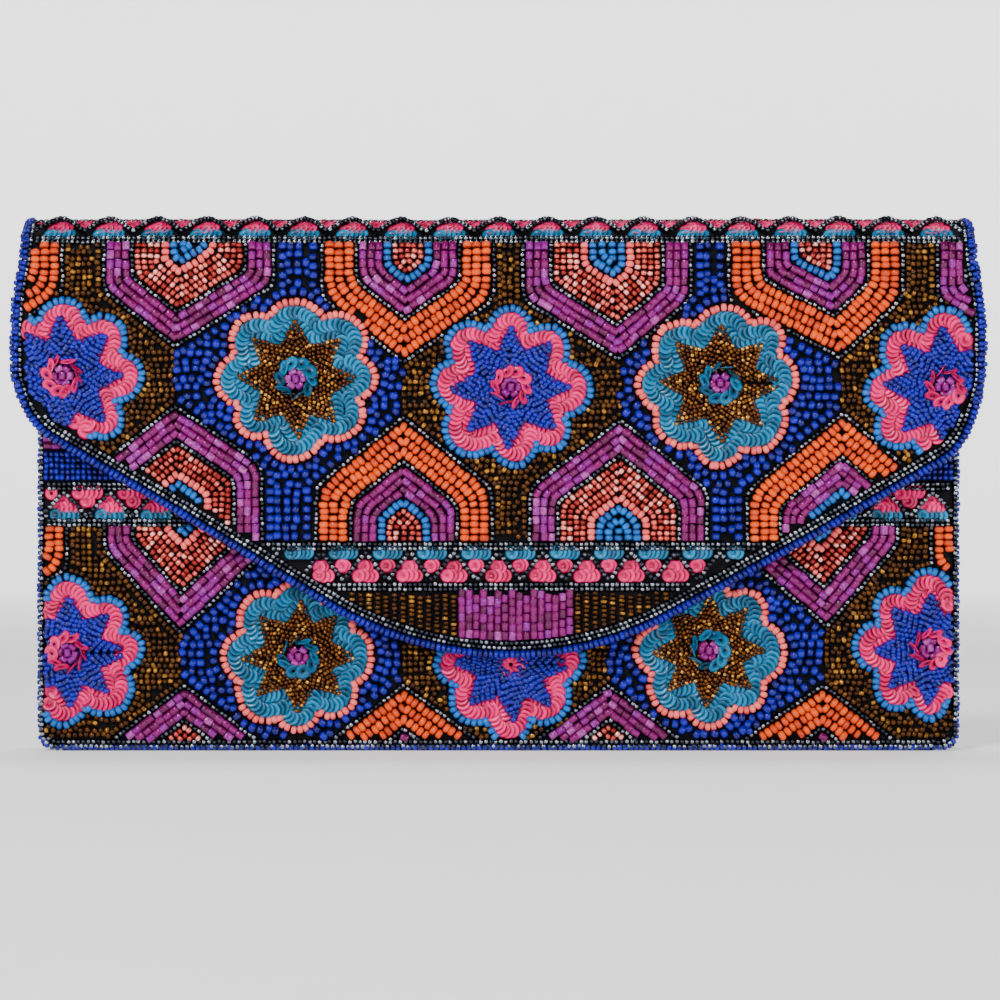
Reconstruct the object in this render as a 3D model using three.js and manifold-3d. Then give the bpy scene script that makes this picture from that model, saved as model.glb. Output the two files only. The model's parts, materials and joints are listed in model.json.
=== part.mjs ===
// A beaded fold-over clutch purse, standing upright on its base with the flap shut.
// Millimetres. +X runs along the purse, -Y is the flap's side, +Z is up.
// The origin is at the middle of the base, half way between front and back.

import * as THREE from 'three';
import { mergeVertices } from 'three/addons/utils/BufferGeometryUtils.js';
import Module from 'manifold-3d';

const wasm = await Module();
wasm.setup();

// Driving dimensions
const HEIGHT = 168;
const BODY_HALF = 145;
const FOLD_RADIUS = 14;
const GAP = 0.3;

// Flap outline: a blunt point, straight slopes, round corners and slightly bowed sides
const FLAP_HALF = 152.7;
const FLAP_TOP_HALF = 149.8;
const FLAP_TIP_Z = 29.3;
const TIP_RADIUS = 109;
const TIP_HALF = 55;
const CORNER_START_X = 140;
const CORNER_PULL_X = 149.5;
const CORNER_END_Z = 118;
const BOW_START_Z = 130;
const FLAP_SKEW = 0.033;
const SKEW_REACH = 100;

// Thickness of each layer
const BEADS = 2.2;
const CLOTH = 0.5;
const BOARD = 1.2;
const LINING = 0.5;
const POCKET_CLOTH = 0.4;

// Zigzag bands, low and high edge
const FLAP_BAND_Z = [51.6, 65.9];
const FRONT_BAND_Z = [71.6, 84.7];

// Panel heights
const FRONT_BEADS_TOP = 104;
const FRONT_CLOTH_TOP = 148;
const FRONT_BOARD_TOP = 145;
const HEM_BOTTOM = 140;
const HEM_THICKNESS = 0.5;
const GUSSET_TOP = 140;
const BASE_CLOTH = 0.6;

// Panel half widths
const CLOTH_HALF = 143;
const GUSSET_X = 142.2;
const LINING_HALF = 141.4;
const EDGE_ROW = 1.7;
const BODY_CORNER = 6;

// Flowers: eight round lobes about a raised rosette
const FLOWER_RADIUS = 19;
const FLOWER_LOBE = 6;
const LOBE_ROUNDNESS = 0.6;
const FLOWER_LOBES = 8;
const FLOWER_THICKNESS = 0.8;
const ROSETTE_RADIUS = 6;
const ROSETTE_HEIGHT = 2.6;
const FLOWER_PITCH = 68.4;
const BACK_FLOWER_Z = { upper: 128.7, lower: 22.8 };

// Magnetic snap
const SNAP_Z = 58;
const SNAP_RADIUS = 9;
const SNAP_HOLE_RADIUS = 10;
const SNAP_BORE = 3.2;
const STUD_RADIUS = 8.5;
const STUD_PIN_RADIUS = 2.6;
const WASHER_RADIUS = 8;
const WASHER_HOLE_RADIUS = 8.6;

// Layer faces, as distances from the fold's axis
const FOLD_Z = HEIGHT - FOLD_RADIUS;
const BEADS_IN = FOLD_RADIUS - BEADS;
const CLOTH_OUT = BEADS_IN - GAP;
const CLOTH_IN = CLOTH_OUT - CLOTH;
const BOARD_OUT = CLOTH_IN - GAP;
const BOARD_IN = BOARD_OUT - BOARD;
const LINING_OUT = BOARD_IN - GAP;
const LINING_IN = LINING_OUT - LINING;
const POCKET_OUT = LINING_IN - GAP;
const POCKET_IN = POCKET_OUT - POCKET_CLOTH;

// Front panel faces, as distances towards -Y
const FRONT_BEADS_OUT = 7.2;
const FRONT_BEADS_IN = FRONT_BEADS_OUT - BEADS;
const FRONT_CLOTH_OUT = FRONT_BEADS_IN - GAP;
const FRONT_CLOTH_IN = FRONT_CLOTH_OUT - CLOTH;
const FRONT_BOARD_OUT = FRONT_CLOTH_IN - GAP;
const FRONT_BOARD_IN = FRONT_BOARD_OUT - 1;
const FRONT_LINING_OUT = FRONT_BOARD_IN - GAP;
const FRONT_LINING_IN = FRONT_LINING_OUT - LINING;

// Heights at which the panels start and end
const PANEL_BOTTOM = BASE_CLOTH + GAP;
const BEADS_BOTTOM = EDGE_ROW + 2 * GAP;
const PANEL_TOP = FOLD_Z - GAP;

const colours = {
  satin: 0x101014,
  board: 0x8f8577,
  lining: 0x17171c,
  cobalt: 0x1a0fa8,
  steel: 0x4a555c,
  purple: 0x93308c,
  orange: 0xe85f12,
  amber: 0x40260a,
  pink: 0xf02c6c,
  turquoise: 0x2a8fb8,
  salmon: 0xf08a84,
  metal: 0xb9b9bd,
  magnet: 0x35353a
};

function material(colour, roughness, metalness) {
  return new THREE.MeshStandardMaterial({ color: colours[colour], roughness, metalness });
}

const model = new THREE.Group();

function add(name, geometry, look) {
  const mesh = new THREE.Mesh(geometry, look);
  mesh.name = name;
  model.add(mesh);
}

// A closed geometry as a solid for joining and cutting
function toSolid(geometry) {
  const bare = geometry.clone();
  bare.deleteAttribute('normal');
  bare.deleteAttribute('uv');
  const merged = mergeVertices(bare, 1e-4);
  return new wasm.Manifold(new wasm.Mesh({
    numProp: 3,
    vertProperties: new Float32Array(merged.attributes.position.array),
    triVerts: new Uint32Array(merged.index.array)
  }));
}

function toGeometry(solid) {
  const mesh = solid.getMesh();
  const geometry = new THREE.BufferGeometry();
  geometry.setAttribute('position', new THREE.BufferAttribute(new Float32Array(mesh.vertProperties), 3));
  geometry.setIndex(new THREE.BufferAttribute(new Uint32Array(mesh.triVerts), 1));
  return geometry;
}

// A plate parallel to the panels: an outline of [x, z] points between two Y faces
function plate(outline, yLow, yHigh, holes = []) {
  const shape = new THREE.Shape(outline.map(([x, z]) => new THREE.Vector2(x, z)));
  for (const { x, z, radius } of holes) {
    const hole = new THREE.Path();
    hole.absarc(x, z, radius, 0, 2 * Math.PI, true);
    shape.holes.push(hole);
  }
  const settings = { depth: yHigh - yLow, bevelEnabled: false, curveSegments: 12 };
  const geometry = new THREE.ExtrudeGeometry(shape, settings);
  geometry.rotateX(Math.PI / 2);
  geometry.translate(0, yHigh, 0);
  return geometry;
}

function rectangle(halfWidth, zLow, zHigh) {
  return [[-halfWidth, zLow], [halfWidth, zLow], [halfWidth, zHigh], [-halfWidth, zHigh]];
}

function box(xLow, xHigh, yLow, yHigh, zLow, zHigh) {
  const geometry = new THREE.BoxGeometry(xHigh - xLow, yHigh - yLow, zHigh - zLow);
  geometry.translate((xLow + xHigh) / 2, (yLow + yHigh) / 2, (zLow + zHigh) / 2);
  return geometry;
}

// A profile of [y, z] points, pushed along X
function profileAlongX(profile, halfWidth) {
  const shape = new THREE.Shape(profile.map(([y, z]) => new THREE.Vector2(y, z)));
  const geometry = new THREE.ExtrudeGeometry(shape, { depth: 2 * halfWidth, bevelEnabled: false });
  const xAxis = new THREE.Vector3(1, 0, 0);
  const yAxis = new THREE.Vector3(0, 1, 0);
  const zAxis = new THREE.Vector3(0, 0, 1);
  geometry.applyMatrix4(new THREE.Matrix4().makeBasis(yAxis, zAxis, xAxis));
  geometry.translate(-halfWidth, 0, 0);
  return geometry;
}

// A strip of the fold between two angles, where 0 is the back and 180 is the flap's side
function foldStrip(innerRadius, outerRadius, startDegrees, endDegrees, halfWidth) {
  const steps = Math.ceil((endDegrees - startDegrees) / 9);
  const profile = [];
  for (let i = 0; i <= steps; i += 1) {
    const angle = THREE.MathUtils.degToRad(startDegrees + (endDegrees - startDegrees) * i / steps);
    profile.push([outerRadius * Math.cos(angle), FOLD_Z + outerRadius * Math.sin(angle)]);
  }
  for (let i = steps; i >= 0; i -= 1) {
    const angle = THREE.MathUtils.degToRad(startDegrees + (endDegrees - startDegrees) * i / steps);
    profile.push([innerRadius * Math.cos(angle), FOLD_Z + innerRadius * Math.sin(angle)]);
  }
  return profileAlongX(profile, halfWidth);
}

// Height of the flap's lower edge at x: a round tip, straight slopes and a slight skew
function flapLowerEdge(x) {
  const reach = Math.min(Math.abs(x), TIP_HALF);
  const arcZ = FLAP_TIP_Z + TIP_RADIUS - Math.sqrt(TIP_RADIUS ** 2 - reach ** 2);
  const slope = TIP_HALF / Math.sqrt(TIP_RADIUS ** 2 - TIP_HALF ** 2);
  const lineZ = slope * (Math.abs(x) - reach);
  return arcZ + lineZ - FLAP_SKEW * THREE.MathUtils.clamp(x, -SKEW_REACH, SKEW_REACH);
}

function flapSideHalf(z) {
  const bow = Math.max(0, (z - BOW_START_Z) / (FOLD_Z - BOW_START_Z));
  return FLAP_HALF - (FLAP_HALF - FLAP_TOP_HALF) * bow ** 2;
}

// One side of the flap, from its top corner down to just short of the tip
function flapSide(sign) {
  const points = [];
  for (const z of [PANEL_TOP, 148, 142, BOW_START_Z, CORNER_END_Z]) {
    points.push([sign * flapSideHalf(z), z]);
  }
  const corner = new THREE.QuadraticBezierCurve(
    new THREE.Vector2(sign * FLAP_HALF, CORNER_END_Z),
    new THREE.Vector2(sign * CORNER_PULL_X, flapLowerEdge(sign * CORNER_PULL_X)),
    new THREE.Vector2(sign * CORNER_START_X, flapLowerEdge(sign * CORNER_START_X))
  );
  for (const point of corner.getPoints(4).slice(1)) {
    points.push([point.x, point.y]);
  }
  for (const x of [SKEW_REACH, 75, TIP_HALF, 41, 27, 13]) {
    points.push([sign * x, flapLowerEdge(sign * x)]);
  }
  return points;
}

function flapEdge() {
  return [...flapSide(-1), [0, flapLowerEdge(0)], ...flapSide(1).reverse()];
}

// Moves an open run of points sideways, to the left of its direction
function shifted(points, distance) {
  return points.map((point, i) => {
    const before = points[Math.max(i - 1, 0)];
    const after = points[Math.min(i + 1, points.length - 1)];
    const length = Math.hypot(after[0] - before[0], after[1] - before[1]);
    const normal = [-(after[1] - before[1]) / length, (after[0] - before[0]) / length];
    return [point[0] + distance * normal[0], point[1] + distance * normal[1]];
  });
}

function flapPlate(inset, yLow, yHigh, holes = []) {
  return plate(shifted(flapEdge(), inset), yLow, yHigh, holes);
}

function between(geometry, zLow, zHigh) {
  const slab = toSolid(box(-200, 200, -30, 30, zLow, zHigh));
  return toGeometry(toSolid(geometry).intersect(slab));
}

// A panel with rounded lower corners
function bodyOutline(half, zLow, zHigh, corner) {
  const points = [[half, zHigh], [-half, zHigh]];
  for (let i = 0; i <= 4; i += 1) {
    const angle = Math.PI + (Math.PI / 2) * i / 4;
    points.push([-half + corner + corner * Math.cos(angle), zLow + corner + corner * Math.sin(angle)]);
  }
  for (let i = 0; i <= 4; i += 1) {
    const angle = 1.5 * Math.PI + (Math.PI / 2) * i / 4;
    points.push([half - corner + corner * Math.cos(angle), zLow + corner + corner * Math.sin(angle)]);
  }
  return points;
}

// A U of edge beading round the sides and base of a panel
function edgeBeading(zLow, zHigh, yLow, yHigh) {
  const outer = plate(bodyOutline(BODY_HALF, zLow, zHigh, BODY_CORNER), yLow, yHigh);
  const innerBottom = zLow + EDGE_ROW;
  const inner = bodyOutline(BODY_HALF - EDGE_ROW, innerBottom, zHigh + 5, BODY_CORNER - EDGE_ROW);
  return toGeometry(toSolid(outer).subtract(toSolid(plate(inner, yLow - 1, yHigh + 1))));
}

function flowerOutline(x, z) {
  const steps = FLOWER_LOBES * 4;
  const points = [];
  for (let i = 0; i < steps; i += 1) {
    const angle = 2 * Math.PI * i / steps;
    const bulge = Math.abs(Math.cos(angle * FLOWER_LOBES / 2)) ** LOBE_ROUNDNESS;
    const radius = FLOWER_RADIUS + FLOWER_LOBE * bulge;
    points.push([x + radius * Math.cos(angle), z + radius * Math.sin(angle)]);
  }
  return points;
}

// A flower on the face y = faceY, rising towards side (+1 back, -1 front), kept inside limit
function flower(x, z, faceY, side, limit, hasRosette) {
  const near = faceY + side * GAP;
  const far = near + side * FLOWER_THICKNESS;
  let solid = toSolid(plate(flowerOutline(x, z), Math.min(near, far), Math.max(near, far)));
  if (hasRosette) {
    const tip = far + side * ROSETTE_HEIGHT;
    const rosette = new THREE.CylinderGeometry(ROSETTE_RADIUS, ROSETTE_RADIUS, Math.abs(tip - near), 14);
    rosette.translate(x, (tip + near) / 2, z);
    solid = solid.add(toSolid(rosette));
  }
  return toGeometry(solid.intersect(limit));
}

// ---- Purse body: back panel, base, sides and the back of the fold ----

function buildPurse() {
  const satin = material('satin', 0.55, 0);
  const liningLook = material('lining', 0.6, 0);

  const backTop = rectangle(CLOTH_HALF, PANEL_BOTTOM, PANEL_TOP);
  add('back_cloth', plate(backTop, CLOTH_IN, CLOTH_OUT), satin);
  const boardOutline = rectangle(LINING_HALF, PANEL_BOTTOM + GAP, FRONT_BOARD_TOP);
  add('back_board', plate(boardOutline, BOARD_IN, BOARD_OUT), material('board', 0.9, 0));
  const liningOutline = rectangle(LINING_HALF, PANEL_BOTTOM, PANEL_TOP);
  add('back_lining', plate(liningOutline, LINING_IN, LINING_OUT), liningLook);
  add('slip_pocket', plate(rectangle(70, 20, 100), POCKET_IN, POCKET_OUT), liningLook);

  const beadHalf = BODY_HALF - EDGE_ROW - GAP;
  const backBeads = bodyOutline(beadHalf, BEADS_BOTTOM, PANEL_TOP, BODY_CORNER - EDGE_ROW);
  add('back_beadwork', plate(backBeads, BEADS_IN, FOLD_RADIUS), material('cobalt', 0.3, 0));
  add('back_edge_beading', edgeBeading(0, PANEL_TOP, BEADS_IN, FOLD_RADIUS), material('steel', 0.3, 0.6));

  const baseHalf = CLOTH_HALF - BODY_CORNER;
  add('base_cloth', box(-baseHalf, baseHalf, -FRONT_CLOTH_OUT, CLOTH_OUT, 0, BASE_CLOTH), satin);
  const liningFront = -FRONT_LINING_IN + GAP;
  const baseLining = box(-LINING_HALF, LINING_HALF, liningFront, LINING_IN - GAP,
    PANEL_BOTTOM, PANEL_BOTTOM + LINING);
  add('base_lining', baseLining, liningLook);

  for (const [name, sign] of [['left_gusset', -1], ['right_gusset', 1]]) {
    const outer = sign * GUSSET_X;
    const inner = sign * (GUSSET_X - CLOTH);
    const gusset = box(Math.min(outer, inner), Math.max(outer, inner),
      -FRONT_CLOTH_IN + GAP, CLOTH_IN - GAP, PANEL_BOTTOM, GUSSET_TOP);
    add(name, gusset, satin);
  }

  add('back_fold_cloth', foldStrip(CLOTH_IN, CLOTH_OUT, 0, 44.1, 144), satin);
  add('back_fold_lining', foldStrip(LINING_IN, LINING_OUT, 0, 43.9, LINING_HALF), liningLook);
  add('back_fold_beads', foldStrip(BEADS_IN, FOLD_RADIUS, 0, 37.5, 146), material('amber', 0.3, 0));

  const limit = toSolid(plate(backBeads, BEADS_IN, FOLD_RADIUS + 10));
  for (const [row, z] of Object.entries(BACK_FLOWER_Z)) {
    for (let i = 0; i < 5; i += 1) {
      const x = (i - 2) * FLOWER_PITCH;
      const look = i % 2 === 0 ? material('pink', 0.35, 0) : material('turquoise', 0.35, 0);
      add(`back_flower_${row}_${i + 1}`, flower(x, z, FOLD_RADIUS, 1, limit, true), look);
    }
  }
}

// ---- Spine: the top of the fold, carrying the fold's band ----

function buildSpine() {
  add('spine_cloth', foldStrip(CLOTH_IN, CLOTH_OUT, 45.9, 134.1, 147), material('satin', 0.55, 0));
  add('spine_lining', foldStrip(LINING_IN, LINING_OUT, 46.1, 133.9, LINING_HALF), material('lining', 0.6, 0));
  add('spine_beads', foldStrip(BEADS_IN, FOLD_RADIUS, 52.5, 127.5, 147), material('pink', 0.3, 0));
}

// ---- Flap ----

const FLAP_FLOWERS = [[-136.1, 117.5], [-63.3, 116.6], [3.9, 114.1], [69.2, 115.3], [139.5, 114.1]];

function buildFlap() {
  const satin = material('satin', 0.55, 0);
  const liningLook = material('lining', 0.6, 0);
  const snapHole = { x: 0, z: SNAP_Z, radius: WASHER_HOLE_RADIUS };

  add('flap_fold_cloth', foldStrip(CLOTH_IN, CLOTH_OUT, 135.9, 180, 148.5), satin);
  add('flap_fold_lining', foldStrip(LINING_IN, LINING_OUT, 136.1, 180, LINING_HALF), liningLook);
  add('flap_fold_beads', foldStrip(BEADS_IN, FOLD_RADIUS, 142.5, 180, 149), material('orange', 0.35, 0));

  add('flap_cloth', flapPlate(0.8, -CLOTH_OUT, -CLOTH_IN), satin);
  add('flap_board', flapPlate(6, -BOARD_OUT, -BOARD_IN, [snapHole]), material('board', 0.9, 0));
  add('flap_lining', flapPlate(1.5, -LINING_OUT, -LINING_IN), liningLook);

  const beadsInset = EDGE_ROW + 2 * GAP;
  const beads = flapPlate(beadsInset, -FOLD_RADIUS, -BEADS_IN);
  const [bandLow, bandHigh] = FLAP_BAND_Z;
  add('flap_beadwork_upper', between(beads, bandHigh + GAP, PANEL_TOP), material('orange', 0.35, 0));
  add('flap_zigzag_band', between(beads, bandLow, bandHigh), material('pink', 0.35, 0));
  add('flap_beadwork_tip', between(beads, 0, bandLow - GAP), material('amber', 0.35, 0));

  const edge = flapEdge();
  const ring = [...edge, ...shifted(edge, EDGE_ROW).reverse()];
  add('flap_edge_beading', plate(ring, -FOLD_RADIUS, -BEADS_IN), material('cobalt', 0.3, 0));

  const limit = toSolid(flapPlate(beadsInset, -FOLD_RADIUS - 10, -BEADS_IN));
  FLAP_FLOWERS.forEach(([x, z], i) => {
    const look = i % 2 === 0 ? material('pink', 0.35, 0) : material('turquoise', 0.35, 0);
    add(`flap_flower_${i + 1}`, flower(x, z, -FOLD_RADIUS, -1, limit, true), look);
  });
  buildFlapSnap();
}

// A turned piece on an axis along Y, from [radius, y] points
function turned(profile, x, z, segments) {
  const points = profile.map(([radius, y]) => new THREE.Vector2(radius, y));
  const geometry = new THREE.LatheGeometry(points, segments);
  geometry.translate(x, 0, z);
  return geometry;
}

function buildFlapSnap() {
  const discBack = -LINING_IN + GAP;
  const discFront = discBack + 0.8;
  const pinEnd = -5.8;
  const stud = [[0, discBack], [STUD_RADIUS, discBack], [STUD_RADIUS, discFront],
    [STUD_PIN_RADIUS, discFront], [STUD_PIN_RADIUS, pinEnd], [0, pinEnd]];
  add('snap_stud', turned(stud, 0, SNAP_Z, 20), material('metal', 0.25, 1));
  const washerLow = -BOARD_OUT + 0.2;
  const washer = [[0, washerLow], [WASHER_RADIUS, washerLow], [WASHER_RADIUS, washerLow + 0.8], [0, washerLow + 0.8]];
  add('snap_stud_washer', turned(washer, 0, SNAP_Z, 20), material('metal', 0.4, 1));
}

// ---- Front panel ----

const FRONT_FLOWERS = [
  { x: -135.2, z: 30.9, rosette: true },
  { x: -62.7, z: 29.7, rosette: true },
  { x: 3.9, z: 27.2, rosette: false },
  { x: 66.1, z: 31.6, rosette: true },
  { x: 135.5, z: 32.2, rosette: true }
];

function buildFront() {
  const washerHole = { x: 0, z: SNAP_Z, radius: WASHER_HOLE_RADIUS };
  const snapHole = { x: 0, z: SNAP_Z, radius: SNAP_HOLE_RADIUS };

  const clothOutline = rectangle(CLOTH_HALF, PANEL_BOTTOM + GAP, FRONT_CLOTH_TOP);
  add('front_cloth', plate(clothOutline, -FRONT_CLOTH_OUT, -FRONT_CLOTH_IN), material('satin', 0.55, 0));
  const boardOutline = rectangle(LINING_HALF, PANEL_BOTTOM + GAP, FRONT_BOARD_TOP);
  const board = plate(boardOutline, -FRONT_BOARD_OUT, -FRONT_BOARD_IN, [washerHole]);
  add('front_board', board, material('board', 0.9, 0));
  const liningOutline = rectangle(LINING_HALF, PANEL_BOTTOM + GAP, FRONT_CLOTH_TOP);
  add('front_lining', plate(liningOutline, -FRONT_LINING_OUT, -FRONT_LINING_IN), material('lining', 0.6, 0));

  const hemFront = -FRONT_CLOTH_OUT - GAP;
  const hemBack = -FRONT_LINING_IN + GAP;
  const hemTop = FRONT_CLOTH_TOP + GAP;
  const hem = [
    [hemFront - HEM_THICKNESS, HEM_BOTTOM], [hemFront, HEM_BOTTOM], [hemFront, hemTop],
    [hemBack, hemTop], [hemBack, HEM_BOTTOM], [hemBack + HEM_THICKNESS, HEM_BOTTOM],
    [hemBack + HEM_THICKNESS, hemTop + HEM_THICKNESS], [hemFront - HEM_THICKNESS, hemTop + HEM_THICKNESS]
  ];
  add('front_hem_binding', profileAlongX(hem, LINING_HALF - GAP), material('satin', 0.5, 0));

  const beadHalf = BODY_HALF - EDGE_ROW - GAP;
  const outline = bodyOutline(beadHalf, BEADS_BOTTOM, FRONT_BEADS_TOP, BODY_CORNER - EDGE_ROW);
  const beads = plate(outline, -FRONT_BEADS_OUT, -FRONT_BEADS_IN, [snapHole]);
  const [bandLow, bandHigh] = FRONT_BAND_Z;
  add('front_beadwork_top', between(beads, bandHigh + GAP, FRONT_BEADS_TOP), material('cobalt', 0.3, 0));
  add('front_zigzag_band', between(beads, bandLow, bandHigh), material('pink', 0.35, 0));
  add('front_beadwork_lower', between(beads, 0, bandLow - GAP), material('purple', 0.3, 0));
  const edging = edgeBeading(GAP, FRONT_BEADS_TOP, -FRONT_BEADS_OUT, -FRONT_BEADS_IN);
  add('front_edge_beading', edging, material('steel', 0.3, 0.6));

  const limit = toSolid(plate(outline, -FRONT_BEADS_OUT - 10, -FRONT_BEADS_IN, [snapHole]));
  FRONT_FLOWERS.forEach(({ x, z, rosette }, i) => {
    const look = i % 2 === 0 ? material('pink', 0.35, 0) : material('turquoise', 0.35, 0);
    add(`front_flower_${i + 1}`, flower(x, z, -FRONT_BEADS_OUT, -1, limit, rosette), look);
  });
  buildFrontSnap();
}

function buildFrontSnap() {
  const face = -FRONT_BEADS_OUT + GAP;
  const seat = -FRONT_BEADS_IN;
  const wall = 0.5;
  const cap = [[SNAP_BORE, face], [SNAP_RADIUS, face], [SNAP_RADIUS, seat], [SNAP_RADIUS - wall, seat],
    [SNAP_RADIUS - wall, face + wall], [SNAP_BORE, face + wall], [SNAP_BORE, face]];
  add('snap_cap', turned(cap, 0, SNAP_Z, 20), material('metal', 0.25, 1));
  const magnetFace = face + wall + GAP;
  const magnetInner = SNAP_BORE + GAP;
  const magnetOuter = SNAP_RADIUS - wall - GAP;
  const magnet = [[magnetInner, magnetFace], [magnetOuter, magnetFace], [magnetOuter, seat],
    [magnetInner, seat], [magnetInner, magnetFace]];
  add('snap_magnet', turned(magnet, 0, SNAP_Z, 20), material('magnet', 0.5, 0.8));
  const washerLow = -FRONT_BOARD_OUT + 0.1;
  const washer = [[0, washerLow], [WASHER_RADIUS, washerLow], [WASHER_RADIUS, washerLow + 0.8], [0, washerLow + 0.8]];
  add('snap_cap_washer', turned(washer, 0, SNAP_Z, 20), material('metal', 0.4, 1));
}

buildPurse();
buildSpine();
buildFlap();
buildFront();

export default model;
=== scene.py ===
import json
from collections import defaultdict
from math import asin, atan2, ceil, cos, hypot, pi, radians, sin, sqrt

import bpy
import numpy as np
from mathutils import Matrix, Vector


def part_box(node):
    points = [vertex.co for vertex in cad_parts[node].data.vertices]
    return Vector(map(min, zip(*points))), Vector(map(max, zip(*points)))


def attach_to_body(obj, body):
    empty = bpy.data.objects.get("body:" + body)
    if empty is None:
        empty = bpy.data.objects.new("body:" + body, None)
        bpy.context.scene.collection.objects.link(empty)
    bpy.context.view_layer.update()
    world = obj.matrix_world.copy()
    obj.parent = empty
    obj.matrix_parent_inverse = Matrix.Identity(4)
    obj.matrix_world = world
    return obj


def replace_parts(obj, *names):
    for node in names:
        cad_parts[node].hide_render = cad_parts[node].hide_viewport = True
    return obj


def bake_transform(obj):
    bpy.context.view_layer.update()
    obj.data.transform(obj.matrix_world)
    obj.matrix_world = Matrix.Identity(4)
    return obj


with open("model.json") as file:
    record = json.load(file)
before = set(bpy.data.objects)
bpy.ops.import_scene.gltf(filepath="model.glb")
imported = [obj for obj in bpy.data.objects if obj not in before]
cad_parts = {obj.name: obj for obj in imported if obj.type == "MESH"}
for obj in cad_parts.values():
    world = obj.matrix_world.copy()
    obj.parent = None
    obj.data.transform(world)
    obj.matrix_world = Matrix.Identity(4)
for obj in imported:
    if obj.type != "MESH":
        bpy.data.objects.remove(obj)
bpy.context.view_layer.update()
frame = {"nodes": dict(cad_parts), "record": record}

MM = 0.001
RNG = np.random.default_rng(11)

# ---- Camera: straight on to the front ----

VIEW_WIDTH = 0.3125
VIEW_CENTRE = (0.0005, 0.0788)
VIEW_PLANE_Y = -0.013
CAMERA_DISTANCE = 1.3
SENSOR = 36.0


def add_object(name, data):
    made = bpy.data.objects.new(name, data)
    bpy.context.scene.collection.objects.link(made)
    return made


def make_camera():
    data = bpy.data.cameras.new("camera")
    data.sensor_width = SENSOR
    data.lens = SENSOR * CAMERA_DISTANCE / VIEW_WIDTH
    camera = add_object("camera", data)
    camera.location = (VIEW_CENTRE[0], VIEW_PLANE_Y - CAMERA_DISTANCE, VIEW_CENTRE[1])
    camera.rotation_euler = (radians(90), 0, 0)
    bpy.context.scene.camera = camera


make_camera()

# ---- Sizes in millimetres. What the frame can tell is read from it. ----


def box_mm(node):
    low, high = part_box(node)
    return [c / MM for c in low], [c / MM for c in high]


TOP_Z = box_mm("spine_beads")[1][2]
FOLD_RADIUS = box_mm("back_beadwork")[1][1]
FOLD_Z = TOP_Z - FOLD_RADIUS
CLOTH_R = box_mm("back_cloth")[1][1]
LINING_OUT_H = box_mm("back_lining")[1][1] - CLOTH_R
LINING_IN_H = box_mm("back_lining")[0][1] - CLOTH_R
FRONT_CLOTH_Y = -box_mm("front_cloth")[0][1]
FRONT_LINING_H = -box_mm("front_lining")[1][1] - FRONT_CLOTH_Y
FRONT_TOP_Z = box_mm("front_cloth")[1][2]
FRONT_BEADS_TOP = box_mm("front_beadwork_top")[1][2]
BODY_HALF = box_mm("back_edge_beading")[1][0]
FLAP_HALF = box_mm("flap_edge_beading")[1][0]
FLAP_BAND, FRONT_BAND = [(box_mm(node)[0][2], box_mm(node)[1][2])
                         for node in ("flap_zigzag_band", "front_zigzag_band")]

# Bead centres over the fold lie at this radius, and lengths over the fold are measured there
PATTERN_R = CLOTH_R + 0.9
FOLD_TOP_S = FOLD_Z + PATTERN_R * pi / 2
BACK_S = FOLD_Z + PATTERN_R * pi
STRIP_END_S = BACK_S + FOLD_Z

FLAP_TOP_HALF = 149.8
SPINE_HALF = 148.8
FLAP_TIP_Z = 29.3
TIP_RADIUS = 109.0
TIP_HALF = 55.0
CORNER_START_X = 140.0
CORNER_PULL_X = 149.5
CORNER_END_Z = 118.0
BOW_START_Z = 130.0
FLAP_SKEW = 0.033
SKEW_REACH = 100.0
BODY_CORNER = 6.0
INNER_HALF = BODY_HALF - BODY_CORNER


def flap_lower_edge(x):
    reach = min(abs(x), TIP_HALF)
    arc = FLAP_TIP_Z + TIP_RADIUS - sqrt(TIP_RADIUS**2 - reach**2)
    slope = TIP_HALF / sqrt(TIP_RADIUS**2 - TIP_HALF**2)
    skew = FLAP_SKEW * max(-SKEW_REACH, min(SKEW_REACH, x))
    return arc + slope * (abs(x) - reach) - skew


def strip_half(s):
    """Half the width of the strip that runs from the flap over the fold to the back."""
    if s < FOLD_Z:
        bow = max(0.0, (s - BOW_START_Z) / (FOLD_Z - BOW_START_Z))
        return FLAP_HALF - (FLAP_HALF - FLAP_TOP_HALF) * bow**2
    if s < FOLD_TOP_S:
        share = (s - FOLD_Z) / (FOLD_TOP_S - FOLD_Z)
        return FLAP_TOP_HALF + (SPINE_HALF - FLAP_TOP_HALF) * share
    share = min(1.0, (s - FOLD_TOP_S) / (BACK_S - FOLD_TOP_S))
    return SPINE_HALF + (BODY_HALF - SPINE_HALF) * share


def bezier(a, b, c, steps):
    shares = [i / steps for i in range(steps + 1)]
    return [tuple((1 - t) ** 2 * a[k] + 2 * t * (1 - t) * b[k] + t * t * c[k] for k in (0, 1))
            for t in shares]


def flap_side(sign):
    """The flap's edge from the fold down to the tip, on one side."""
    points = [(sign * strip_half(z), z) for z in np.linspace(FOLD_Z, CORNER_END_Z, 10)]
    pull, end = [(sign * x, flap_lower_edge(sign * x)) for x in (CORNER_PULL_X, CORNER_START_X)]
    points += bezier((sign * FLAP_HALF, CORNER_END_Z), pull, end, 8)[1:]
    return points + [(sign * x, flap_lower_edge(sign * x)) for x in np.linspace(CORNER_START_X, 0, 36)[1:]]


FLAP_SIDES = {sign: flap_side(sign) for sign in (-1, 1)}
FLAP_EDGE = FLAP_SIDES[-1] + FLAP_SIDES[1][:-1][::-1]


def corner_arc(centre_x, centre_s, start_deg):
    angles = [radians(start_deg + 90 * i / 5) for i in range(6)]
    return [(centre_x + BODY_CORNER * cos(a), centre_s + BODY_CORNER * sin(a)) for a in angles]


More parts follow.
